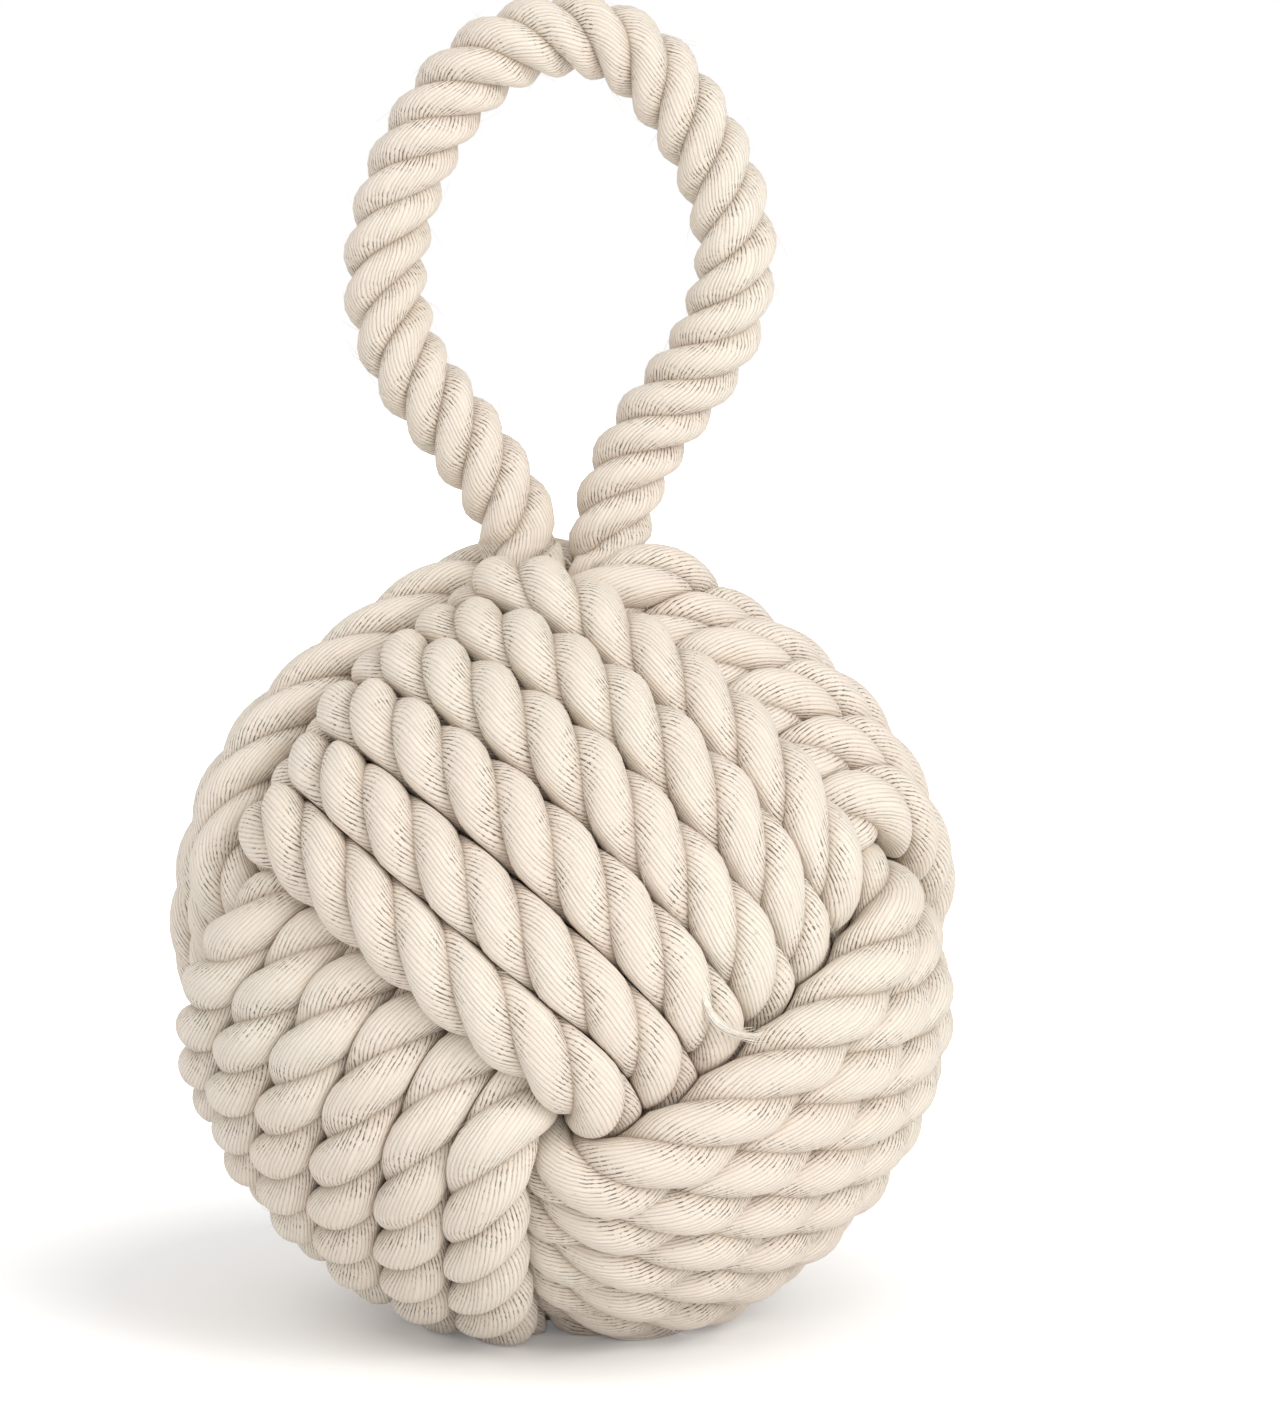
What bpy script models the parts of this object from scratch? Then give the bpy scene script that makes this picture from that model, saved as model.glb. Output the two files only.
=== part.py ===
"""Rope knot doorstop: a monkey's fist tied round a weighted pouch, with a rope loop handle.

Three wraps of six turns each lock round the pouch at right angles. Every wrap goes over
one neighbour and under the other, so six turns show on each of the six faces. The knot
stands on one corner, and the two legs of the handle leave by the corner above it.
Sizes are in metres, with +Z up and the floor at z = 0.
"""

import math

import bmesh
import bpy
import numpy as np
from mathutils import Matrix, Vector

# Driving dimensions
ROPE = 0.0142  # the rope's thickness where one turn crosses another
LAID_FULLER = 0.0008  # how much thicker it is, at most, at the middle of a face
HANDLE_FULLER = 0.0018  # and how much thicker in the handle, where nothing squeezes it
TURNS = 6  # turns in each of the three wraps
CORE_RADIUS = 0.0465  # the ball that the first turns are laid on
FACE_SPACING = 1.06  # spacing of turns at the middle of a face, in rope thicknesses
EDGE_SPACING = 0.88  # the same where the turns dive, squeezed by their neighbours
OUTER_REACH = 1.52  # how far out the second layer's middle lies, in rope thicknesses
LEG_GAP = 0.0006  # between the two legs of the handle
LEG_SETBACK = 0.003  # the legs stand this far behind the knot's middle
FLAT_DEPTH = 0.0015  # the knot's underside is pressed flat this deep
GAP = 0.0003  # between two pieces that touch
SIDE_GAP = 0.0005  # between one turn and the next

# Heights, over the knot's two layers of rope and over the throat
THROAT_RISE = 0.0016  # up to the throat, where the knot's rope becomes the handle's root
ROOT_HEIGHT = 0.020  # the stretch of each leg that bends when the handle leans

# Handle's centre line from the left leg round to the right, as x and height over the throat
HANDLE_POINTS = (
    (-0.0083, 0.0035),
    (-0.0127, 0.0123),
    (-0.0193, 0.0212),
    (-0.0275, 0.0311),
    (-0.0323, 0.0411),
    (-0.0336, 0.0530),
    (-0.0316, 0.0634),
    (-0.0283, 0.0729),
    (-0.0228, 0.0824),
    (-0.0143, 0.0912),
    (-0.0035, 0.0957),
    (0.0077, 0.0951),
    (0.0155, 0.0904),
    (0.0220, 0.0830),
    (0.0274, 0.0736),
    (0.0310, 0.0638),
    (0.0323, 0.0535),
    (0.0304, 0.0436),
    (0.0260, 0.0346),
    (0.0195, 0.0260),
    (0.0133, 0.0170),
    (0.0083, 0.0035),
)

# Pouch, its filling and its tie
POUCH_WALL = 0.0014
NECK_RADIUS = 0.0062
NECK_BORE = 0.0018
TIE_CORD = 0.0020
TIE_TURNS = 2

# Binding that holds the rope's two cut ends together, inside the knot
BINDING_LENGTH = 0.022
BINDING_INSIDE = 0.0046
BINDING_WALL = 0.0007
END_GAP = 0.0006  # between the two cut ends

# How finely things are made
ROUTE_STEP = 0.0045  # between points while the turns are eased apart
EASING_ROUNDS = 600
POINTS_PER_TURN = 24
SAMPLE_STEP = 0.0015  # between the points that gaps are measured on
POUCH_SIDES = 40

# The three directions that the knot's faces point in; their sum points straight up
FRONT = np.array([0.0, -math.sqrt(2 / 3), math.sqrt(1 / 3)])
RIGHT = np.array([math.sqrt(1 / 2), math.sqrt(1 / 6), math.sqrt(1 / 3)])
LEFT = np.array([-math.sqrt(1 / 2), math.sqrt(1 / 6), math.sqrt(1 / 3)])
FACES = np.stack([FRONT, RIGHT, LEFT])

# Derived sizes
LAID_ROPE = ROPE + LAID_FULLER
HANDLE_ROPE = ROPE + HANDLE_FULLER
LEG_SPACING = HANDLE_ROPE + LEG_GAP  # between the middles of the two legs
THROAT = CORE_RADIUS + 2 * ROPE + THROAT_RISE  # the throat's height over the knot's middle
FLOOR_LAYER = CORE_RADIUS + (OUTER_REACH - 0.07) * ROPE  # lowest a turn's middle can lie
STRAIGHT_LEG = 1.5 * ROPE  # the stretch above the throat that each leg keeps
STRAIGHT_END = 2 * SAMPLE_STEP  # the straight stretch where two pieces meet
OWN_STRETCH = 1.6 * ROPE  # along the rope, too near to count as another turn

# Colours
COTTON = (0.86, 0.79, 0.67)
CANVAS = (0.62, 0.55, 0.43)
SAND = (0.45, 0.36, 0.24)
TWINE = (0.55, 0.47, 0.34)


def clear_scene():
    for item in list(bpy.data.objects):
        bpy.data.objects.remove(item, do_unlink=True)


def material(name, colour, roughness):
    made = bpy.data.materials.new(name)
    made.use_nodes = True
    shader = made.node_tree.nodes["Principled BSDF"]
    shader.inputs["Base Color"].default_value = (*colour, 1.0)
    shader.inputs["Roughness"].default_value = roughness
    shader.inputs["Metallic"].default_value = 0.0
    return made


# Routes


def lengths_along(points):
    steps = np.linalg.norm(np.diff(points, axis=0), axis=1)
    return np.concatenate([[0.0], np.cumsum(steps)])


def evenly_spaced(points, spacing):
    """The same route with its points a set distance apart."""
    along = lengths_along(points)
    wanted = np.linspace(0.0, along[-1], int(round(along[-1] / spacing)) + 1)
    return np.stack([np.interp(wanted, along, points[:, axis]) for axis in range(3)], axis=1)


def directions(points):
    run = np.gradient(points, axis=0)
    return run / np.linalg.norm(run, axis=1)[:, None]


def smoothed(points, rounds):
    """The route with its small kinks rubbed out; the ends keep their places."""
    for _ in range(rounds):
        points[1:-1] = 0.5 * points[1:-1] + 0.25 * (points[:-2] + points[2:])
    return points


def straightened(points, low, high):
    """The same route, straight between two of its points."""
    share = np.linspace(0.0, 1.0, high - low + 1)[:, None]
    points[low : high + 1] = points[low] * (1 - share) + points[high] * share
    return points


def wrap_turns(over, under, stacked, enters, climbs, start=45.0, end=135.0):
    """One wrap of turns in its first, loose form.

    The turns lie outside on the faces along `over`, lie covered on the faces along `under`
    and are stacked along `stacked`. Each climbs to the next place as it passes a covered
    face, so no climb shows.
    """
    squareness = 5.0
    outer = CORE_RADIUS + 1.49 * ROPE
    inner = CORE_RADIUS + 0.44 * ROPE
    angle = np.arange(start, 360.0 * TURNS + end, 3.75) * math.pi / 180
    turn = np.floor((angle - math.pi / 4 + 1e-9) / (2 * math.pi))
    part = np.clip((angle - math.pi / 4 - 2 * math.pi * turn) / (math.pi / 2), 0.0, 1.0)
    place = turn - (TURNS + 1) / 2 + part * part * (3 - 2 * part)
    edge = 1.0 - 0.12 * np.sin(2 * angle) ** 2
    last = (TURNS - 1) / 2 + 0.4
    offset = climbs * np.clip(place, -last, last) * 0.986 * ROPE * edge
    cosine, sine = np.cos(angle), np.sin(angle)
    squared_cosine = np.sign(cosine) * np.abs(cosine) ** (2 / squareness)
    squared_sine = np.sign(sine) * np.abs(sine) ** (2 / squareness)
    along_over = enters * np.sqrt(outer**2 - offset**2) * squared_cosine
    along_under = -enters * climbs * np.sqrt(inner**2 - offset**2) * squared_sine
    return np.stack([along_over, along_under, offset], axis=1) @ np.stack([over, under, stacked])


def loose_route():
    """The whole knot in one run: down one leg, through the three wraps and up the other."""
    first = wrap_turns(LEFT, RIGHT, FRONT, 1, -1, start=62.0)
    second = wrap_turns(RIGHT, FRONT, LEFT, 1, 1)
    third = wrap_turns(FRONT, LEFT, RIGHT, -1, 1, end=118.0)
    heights = np.linspace(THROAT + STRAIGHT_LEG, THROAT - STRAIGHT_END, 9)
    across, back = np.full(9, LEG_SPACING / 2), np.full(9, LEG_SETBACK)
    leg_in = np.stack([across, back, heights], axis=1)
    leg_out = leg_in[::-1] * [-1, 1, 1]
    low, high = THROAT - 0.85 * ROPE, THROAT - 0.4 * ROPE
    bend_in = [[0.57 * ROPE, 0.1 * ROPE, high], [0.6 * ROPE, -0.14 * ROPE, low]]
    bend_out = [[-0.56 * ROPE, 0.35 * ROPE, low], [-0.57 * ROPE, 0.25 * ROPE, high]]
    return np.concatenate([leg_in, bend_in, first, second, third, bend_out, leg_out])


def neighbours(points):
    """Pairs of points that lie close to each other on different stretches of the rope."""
    apart = ((points[:, None, :] - points[None, :, :]) ** 2).sum(axis=2)
    first, second = np.nonzero(apart < (1.4 * ROPE) ** 2)
    different = second - first > math.ceil(1.9 * ROPE / ROUTE_STEP)
    return first[different], second[different]


def spacing_wanted(points, first, second):
    """How far apart each pair should lie: wider mid-face and tighter where turns dive."""
    run = directions(points)
    alike = np.abs((run[first] * run[second]).sum(axis=1))
    side_by_side = np.clip((alike - 0.6) / 0.3, 0.0, 1.0)
    facing = np.abs(points @ FACES.T).max(axis=1) / np.linalg.norm(points, axis=1)
    mid_face = np.clip((facing - 0.76) / 0.18, 0.0, 1.0)[first]
    beside = EDGE_SPACING + (FACE_SPACING - EDGE_SPACING) * mid_face
    return ROPE * (1.0 + (beside - 1.0) * side_by_side)


def outer_limit(points, radius):
    """The outer turns' greatest reach: nearly a ball, fuller at its corners and at the top."""
    cornered = np.clip(np.abs(points @ FACES.T).min(axis=1) / radius / 0.577, 0.0, 1.0)
    topped = np.clip((points[:, 2] / radius - 0.9) / 0.1, 0.0, 1.0)
    return CORE_RADIUS + ROPE * (OUTER_REACH + 0.11 * cornered**1.5 + 0.35 * topped)


def ease_apart(points):
    """Draws the loose turns snug round the pouch in small steps, until they lie side by side.

    Each step straightens the rope a little, parts any two stretches that are too close,
    and keeps every turn off the pouch and inside the ball. The legs stay where they are.
    """
    kept = STRAIGHT_LEG + STRAIGHT_END
    for step in range(EASING_ROUNDS):
        if step % 10 == 0:
            points = evenly_spaced(points, ROUTE_STEP)
            count = len(points)
            first, second = neighbours(points)
            wanted = spacing_wanted(points, first, second)
            along = np.arange(count) * ROUTE_STEP
            free = ((along > kept) & (along < along[-1] - kept))[:, None]
        grown = min(1.0, 0.72 + 0.56 * step / EASING_ROUNDS)
        pull = 0.3 * (1 - step / EASING_ROUNDS) ** 0.7
        near = np.zeros_like(points)
        near[1:-1] = 0.5 * (points[:-2] + points[2:]) - points[1:-1]
        far = np.zeros_like(points)
        far[3:-3] = 0.5 * (points[:-6] + points[6:]) - points[3:-3]
        stiff = np.zeros_like(points)
        stiff[3:-3] = 0.5 * (far[:-6] + far[6:]) - far[3:-3]
        points = points + free * ((pull + 0.15) * near + 0.1 * pull * far - 0.11 * stiff)
        for _ in range(2):
            between = points[second] - points[first]
            distance = np.linalg.norm(between, axis=1)
            short = np.maximum(wanted * grown - distance, 0.0)
            push = (0.3 * short / distance)[:, None] * between
            close = (short > 0).astype(float)
            shares = np.bincount(first, close, count) + np.bincount(second, close, count)
            moves = np.zeros_like(points)
            for axis in range(3):
                moves[:, axis] += np.bincount(second, push[:, axis], count)
                moves[:, axis] -= np.bincount(first, push[:, axis], count)
            points = points + free * moves / np.maximum(shares / 2, 1.0)[:, None]
            radius = np.linalg.norm(points, axis=1)
            inside = radius < CORE_RADIUS + ROPE / 2
            points[inside] *= ((CORE_RADIUS + ROPE / 2) / radius[inside])[:, None]
            limit = outer_limit(points, radius)
            by_the_legs = np.hypot(points[:, 0], points[:, 1]) < 1.27 * ROPE
            outside = (radius > limit) & free[:, 0] & ~by_the_legs
            points[outside] *= (0.5 + 0.5 * limit / radius)[outside][:, None]
            points[:, 2] = np.maximum(points[:, 2], -FLOOR_LAYER)
    return evenly_spaced(points, SAMPLE_STEP)


def handle_route():
    """The handle's smooth centre line, from the left throat round to the right throat."""
    foot = LEG_SPACING / 2
    wider = foot - HANDLE_POINTS[-1][0]
    loop = [(x + math.copysign(wider, x), z) for x, z in HANDLE_POINTS]
    plane = [(-foot, -ROPE), (-foot, 0.0), *loop, (foot, 0.0), (foot, -ROPE)]
    control = np.array([(x, LEG_SETBACK, THROAT + z) for x, z in plane])
    curve = []
    for a, b, c, d in zip(control, control[1:], control[2:], control[3:]):
        for t in np.linspace(0.0, 1.0, 12, endpoint=False):
            cubic = (3 * b - a - 3 * c + d) * t**3 + (2 * a - 5 * b + 4 * c - d) * t**2
            curve.append(0.5 * (cubic + (c - a) * t + 2 * b))
    curve.append(control[-2])
    return smoothed(evenly_spaced(np.array(curve), SAMPLE_STEP), 12)


def bend_weighted(points, count):
    """Picks fewer points on a route, closest together where it bends most."""
    bend = np.linalg.norm(np.gradient(directions(points), axis=0), axis=1)
    bend = np.convolve(np.pad(bend, 4, mode="edge"), np.ones(9) / 9, mode="valid")
    weight = np.sqrt(bend + 0.3 * bend.mean() + 1e-6)
    total = np.concatenate([[0.0], np.cumsum(0.5 * (weight[1:] + weight[:-1]))])
    index = np.arange(len(points))
    picks = np.interp(np.linspace(0.0, total[-1], count), total, index)
    return np.stack([np.interp(picks, index, points[:, axis]) for axis in range(3)], axis=1)


def matching_points(route):
    """Picks the same number of points on each half turn, so neighbours have theirs abreast.

    Half turns are told apart by where the rope crosses the middle of a covered face.
    """
    wrap = np.abs(np.cross(route, directions(route)) @ FACES.T).argmax(axis=1)
    outside_axis = FACES[[2, 0, 1]][wrap]
    ahead = (route * outside_axis).sum(axis=1) > 0
    crossings = np.nonzero((ahead[1:] != ahead[:-1]) & (wrap[1:] == wrap[:-1]))[0] + 1
    half_turn = len(route) / (6.1 * TURNS)
    marks = [0]
    for crossing in crossings:
        if crossing - marks[-1] > 0.3 * half_turn:
            marks.append(int(crossing))
    marks.append(len(route) - 1)
    kept = []
    for low, high in zip(marks, marks[1:]):
        share = min(1.0, (high - low) / half_turn / 0.9)
        count = max(2, round(share * POINTS_PER_TURN / 2) + 1)
        kept.append(bend_weighted(route[low : high + 1], count)[:-1])
    return np.concatenate(kept + [route[-1:]])


def sampled(points):
    """Samples along the straight lines between points, and the line each one is on."""
    places, lines = [], []
    for index, (a, b) in enumerate(zip(points, points[1:])):
        count = max(2, int(np.linalg.norm(b - a) / SAMPLE_STEP) + 1)
        share = np.linspace(0.0, 1.0, count, endpoint=False)[:, None]
        places.append(a * (1 - share) + b * share)
        lines.append(np.full(count, index))
    places.append(points[-1:])
    lines.append(np.array([len(points) - 2]))
    return np.concatenate(places), np.concatenate(lines)


def close_pairs(places, reach):
    """Pairs of samples on different stretches that lie within reach, and their distances."""
    along = lengths_along(places)
    firsts, seconds, distances = [], [], []
    for start in range(0, len(places), 400):
        rows = slice(start, start + 400)
        apart = np.linalg.norm(places[rows, None, :] - places[None, :, :], axis=2)
        apart[np.abs(along[rows, None] - along[None, :]) < OWN_STRETCH] = 1.0
        first, second = np.nonzero(apart < reach)
        firsts.append(first + start)
        seconds.append(second)
        distances.append(apart[first, second])
    return np.concatenate(firsts), np.concatenate(seconds), np.concatenate(distances)


def radii_with_side_gap(points, radii):
    """Slims the rope only where it needs to, until every stretch clears its neighbours."""
    places, lines = sampled(points)
    first, second, apart = close_pairs(places, 2 * radii.max() + SIDE_GAP)
    along, corners = lengths_along(places), lengths_along(points)
    share = (along - corners[lines]) / (corners[lines + 1] - corners[lines])
    radii = radii.copy()
    for _ in range(120):
        thick = radii[lines] * (1 - share) + radii[lines + 1] * share
        over = np.zeros(len(places))
        np.maximum.at(over, first, (thick[first] + thick[second] + SIDE_GAP - apart) / 2)
        if over.max() < 0.00001:
            break
        slimmer = np.zeros(len(points))
        np.maximum.at(slimmer, lines, over * np.minimum(1.0, 1.6 * (1 - share)))
        np.maximum.at(slimmer, lines + 1, over * np.minimum(1.0, 1.6 * share))
        radii -= 0.6 * slimmer
    return radii - max(0.0, over.max())


def least_gap(points, radii):
    """The smallest clear distance between two stretches of one wound tube."""
    places, _ = sampled(points)
    thick = np.interp(lengths_along(places), lengths_along(points), radii)
    first, second, apart = close_pairs(places, 3 * radii.max())
    return (apart - thick[first] - thick[second]).min()


# Pieces


def piece(name, shape, finish):
    """Turns a finished mesh into a named object with its material."""
    bmesh.ops.remove_doubles(shape, verts=shape.verts, dist=0.00001)
    bmesh.ops.recalc_face_normals(shape, faces=shape.faces)
    mesh = bpy.data.meshes.new(name)
    shape.to_mesh(mesh)
    shape.free()
    mesh.materials.append(finish)
    made = bpy.data.objects.new(name, mesh)
    bpy.context.scene.collection.objects.link(made)
    return made


def tube(name, points, radii, resolution, finish):
    """A rope or cord: a curve through the points with a round bevel and closed ends."""
    curve = bpy.data.curves.new(name, "CURVE")
    curve.dimensions = "3D"
    curve.bevel_depth = 1.0
    curve.bevel_resolution = resolution
    curve.use_fill_caps = True
    spline = curve.splines.new("POLY")
    spline.points.add(len(points) - 1)
    for point, place, radius in zip(spline.points, points, radii):
        point.co = (*place, 1.0)
        point.radius = radius
    maker = bpy.data.objects.new(name + "_curve", curve)
    bpy.context.scene.collection.objects.link(maker)
    graph = bpy.context.evaluated_depsgraph_get()
    graph.update()
    mesh = bpy.data.meshes.new_from_object(maker.evaluated_get(graph))
    bpy.data.objects.remove(maker, do_unlink=True)
    shape = bmesh.new()
    shape.from_mesh(mesh)
    bpy.data.meshes.remove(mesh)
    return piece(name, shape, finish)


def trimmed(points, first, last):
    """The same points with a little taken off each end."""
    points = points.copy()
    ahead, back = points[1] - points[0], points[-2] - points[-1]
    points[0] += ahead / np.linalg.norm(ahead) * first
    points[-1] += back / np.linalg.norm(back) * last
    return points


def set_down(made, rope):
    """Stands all the pieces on the floor and cuts the knot's rope off level with it."""
    lowest = min(vertex.co.z for vertex in rope.data.vertices)
    for each in made:
        each.data.transform(Matrix.Translation((0, 0, -lowest - FLAT_DEPTH)))
    cut_flat(rope)


def cut_flat(made):
    """Cuts a piece off level with the floor and closes the cuts."""
    shape = bmesh.new()
    shape.from_mesh(made.data)
    everything = shape.verts[:] + shape.edges[:] + shape.faces[:]
    bmesh.ops.bisect_plane(
        shape, geom=everything, dist=0.00001, plane_co=(0, 0, 0), plane_no=(0, 0, -1),
        clear_outer=True,
    )
    bmesh.ops.holes_fill(shape, edges=[e for e in shape.edges if e.is_boundary], sides=0)
    bmesh.ops.recalc_face_normals(shape, faces=shape.faces)
    shape.to_mesh(made.data)
    shape.free()


def spun(profile, sides):
    """A round shape: a profile of radius and height, spun about the upright axis."""
    shape = bmesh.new()
    line = [shape.verts.new((radius, 0.0, height)) for radius, height in profile]
    edges = [shape.edges.new(pair) for pair in zip(line, line[1:])]
    bmesh.ops.spin(
        shape, geom=line + edges, cent=(0, 0, 0), axis=(0, 0, 1), angle=2 * math.pi,
        steps=sides, use_merge=True,
    )
    return shape


def arc(radius, start, end, count):
    """Points on a ball's outline, as radius and height; angles count from the top."""
    angles = np.radians(np.linspace(start, end, count))
    return [(radius * math.sin(a), radius * math.cos(a)) for a in angles]


def pouch_profile(outer):
    """The canvas pouch's wall, drawn in to a tied neck that stands in its own hollow."""
    outside = arc(outer, 180.0, 30.0, 16)
    outside += [
        (0.34 * outer, 0.815 * outer),
        (0.24 * outer, 0.72 * outer),
        (NECK_RADIUS + 0.0008, 0.66 * outer),
        (NECK_RADIUS, 0.70 * outer),
        (NECK_RADIUS, 0.88 * outer),
        (NECK_RADIUS + 0.004, 0.955 * outer),
        (NECK_RADIUS + 0.003, 0.965 * outer),
        (NECK_BORE, 0.90 * outer),
    ]
    inside = [
        (NECK_BORE, 0.60 * outer),
        (0.160 * outer, 0.613 * outer),
        (0.262 * outer, 0.686 * outer),
        (0.358 * outer, 0.778 * outer),
    ]
    return outside + inside + arc(outer - POUCH_WALL, 32.0, 180.0, 16)


def filling_profile(outer):
    """The sand that fills the pouch, hollowed at the top where the neck is drawn in."""
    top = [
        (0.370 * outer, 0.755 * outer),
        (0.270 * outer, 0.660 * outer),
        (0.170 * outer, 0.590 * outer),
        (0.0, 0.575 * outer),
    ]
    return arc(outer - POUCH_WALL - GAP, 180.0, 33.0, 16) + top


def tie_route(height):
    """A few turns of cord wound round the pouch's neck."""
    radius = NECK_RADIUS + TIE_CORD / 2 + GAP
    rise = TIE_CORD + 2 * GAP
    angles = np.linspace(0.0, 2 * math.pi * TIE_TURNS, TIE_TURNS * POINTS_PER_TURN + 1)
    heights = height + rise * (angles / (2 * math.pi) - TIE_TURNS / 2)
    return np.stack([radius * np.cos(angles), radius * np.sin(angles), heights], axis=1)


def binding(place, direction, finish):
    """A short sleeve of wound tape round the rope's two cut ends."""
    half = BINDING_LENGTH / 2
    outside = BINDING_INSIDE + BINDING_WALL
    corners = [(BINDING_INSIDE, -half), (outside, -half), (outside, half), (BINDING_INSIDE, half)]
    shape = spun(corners + corners[:1], 12)
    turn = Vector(direction).to_track_quat("Z", "Y").to_matrix().to_4x4()
    bmesh.ops.transform(shape, matrix=Matrix.Translation(place) @ turn, verts=shape.verts)
    return piece("end_binding", shape, finish)


def build():
    clear_scene()
    cotton = material("cotton_rope", COTTON, 0.9)
    canvas = material("canvas", CANVAS, 0.95)
    sand = material("sand", SAND, 1.0)
    twine = material("waxed_twine", TWINE, 0.7)

    # Knot's route between the two throats; the cut ends meet in its last covered pass
    route = smoothed(ease_apart(loose_route()), 10)
    spare = int(round(STRAIGHT_LEG / SAMPLE_STEP))
    route = route[spare:-spare]
    route[0] = (LEG_SPACING / 2, LEG_SETBACK, THROAT)
    route[-1] = (-LEG_SPACING / 2, LEG_SETBACK, THROAT)
    reach = int(math.ceil(0.55 * BINDING_LENGTH / SAMPLE_STEP))
    meeting = len(route) - 1 - int(np.argmax(route[::-1] @ FRONT < 0))
    route = straightened(route, meeting - reach, meeting + reach)
    route[1:3] = route[0] - [[0, 0, SAMPLE_STEP], [0, 0, 2 * SAMPLE_STEP]]
    route[-3:-1] = route[-1] - [[0, 0, 2 * SAMPLE_STEP], [0, 0, SAMPLE_STEP]]

    # Handle's route, straight for a little at each end and where it leaves its roots
    handle = handle_route()
    left = int(np.argmax(handle[:, 2] > THROAT + ROOT_HEIGHT))
    right = len(handle) - 1 - int(np.argmax(handle[::-1, 2] > THROAT + ROOT_HEIGHT))
    handle[:3, 0] = -LEG_SPACING / 2
    handle[-3:, 0] = LEG_SPACING / 2
    for split in (left, right):
        handle = straightened(handle, split - 2, split + 2)

    # Points kept, from the right root's top through the knot to the left root's top
    wound = matching_points(route[2 : meeting - reach + 1])
    stretches = (
        (handle[right : right + 3], 2),
        (handle[right + 2 : -2], 6),
        (handle[-3:], 2),
        (route[:3], 2),
        (wound, 0),
        (route[meeting - reach : meeting + 1], 2),
        (route[meeting : meeting + reach + 1], 2),
        (route[meeting + reach : -2], 6),
        (route[-3:], 2),
        (handle[:3], 2),
        (handle[2 : left - 1], 6),
        (handle[left - 2 : left + 1], 2),
    )
    kept = [(bend_weighted(stretch, count) if count else stretch)[:-1] for stretch, count in stretches]
    starts = np.cumsum([0] + [len(points) for points in kept])
    whole = np.concatenate(kept + [handle[left : left + 1]])
    throat_in, cut, throat_out = starts[3], starts[6], starts[9]

    # Radii: as full as the neighbours allow, slimmer inside the binding
    full = np.full(len(whole), LAID_ROPE / 2)
    rising = np.linspace(HANDLE_ROPE / 2, LAID_ROPE / 2, throat_in + 1)
    full[: throat_in + 1] = rising
    full[throat_out:] = np.linspace(LAID_ROPE / 2, HANDLE_ROPE / 2, len(whole) - throat_out)
    full[cut - 1 : cut + 2] = BINDING_INSIDE + BINDING_WALL
    radii = radii_with_side_gap(whole, full)
    places, _ = sampled(whole)
    thick = np.interp(lengths_along(places), lengths_along(whole), radii)
    bound = np.linalg.norm(whole[cut - 1 : cut + 2], axis=1).min() - BINDING_INSIDE - BINDING_WALL
    outer = min(bound, (np.linalg.norm(places, axis=1) - thick).min()) - GAP
    radii[cut - 1 : cut + 2] = BINDING_INSIDE - GAP
    print("least gap between turns", round(least_gap(whole, radii) * 1000, 2), "mm")

    # Rope
    knot = trimmed(whole[throat_in : cut + 1], GAP / 2, END_GAP / 2)
    rope = tube("knot_rope", knot, radii[throat_in : cut + 1], 1, cotton)
    tail = trimmed(whole[cut : throat_out + 1], END_GAP / 2, GAP / 2)
    tube("tucked_tail", tail, radii[cut : throat_out + 1], 1, cotton)
    root = trimmed(whole[: throat_in + 1], GAP / 2, GAP / 2)
    tube("handle_root_right", root, radii[: throat_in + 1], 4, cotton)
    root = trimmed(whole[throat_out:], GAP / 2, GAP / 2)
    tube("handle_root_left", root, radii[throat_out:], 4, cotton)
    free = np.concatenate([
        handle[left : left + 1],
        bend_weighted(handle[left + 2 : right - 1], 36),
        handle[right : right + 1],
    ])
    free = trimmed(free, GAP / 2, GAP / 2)
    tube("handle_loop", free, np.full(len(free), HANDLE_ROPE / 2), 4, cotton)
    binding(whole[cut], whole[cut + 1] - whole[cut], twine)

    # Pouch, as large as the first turns and the binding leave room for
    piece("core_pouch", spun(pouch_profile(outer), POUCH_SIDES), canvas)
    piece("sand_fill", spun(filling_profile(outer), POUCH_SIDES), sand)
    tie = tie_route(0.79 * outer)
    tube("pouch_tie", tie, np.full(len(tie), TIE_CORD / 2), 1, twine)
    set_down(list(bpy.data.objects), rope)


if __name__ == "__main__":
    build()
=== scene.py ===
"""Rope knot doorstop: the finished look of the knot, its handle and its weighted pouch.

The knot's rope is laid again along its own route, as three strands of many fine yarns,
and each turn is pressed flat where it meets its neighbours, the pouch or the floor.
Sizes are in metres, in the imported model's frame, with +Z up and the floor at z = 0.
"""

import math

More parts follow.
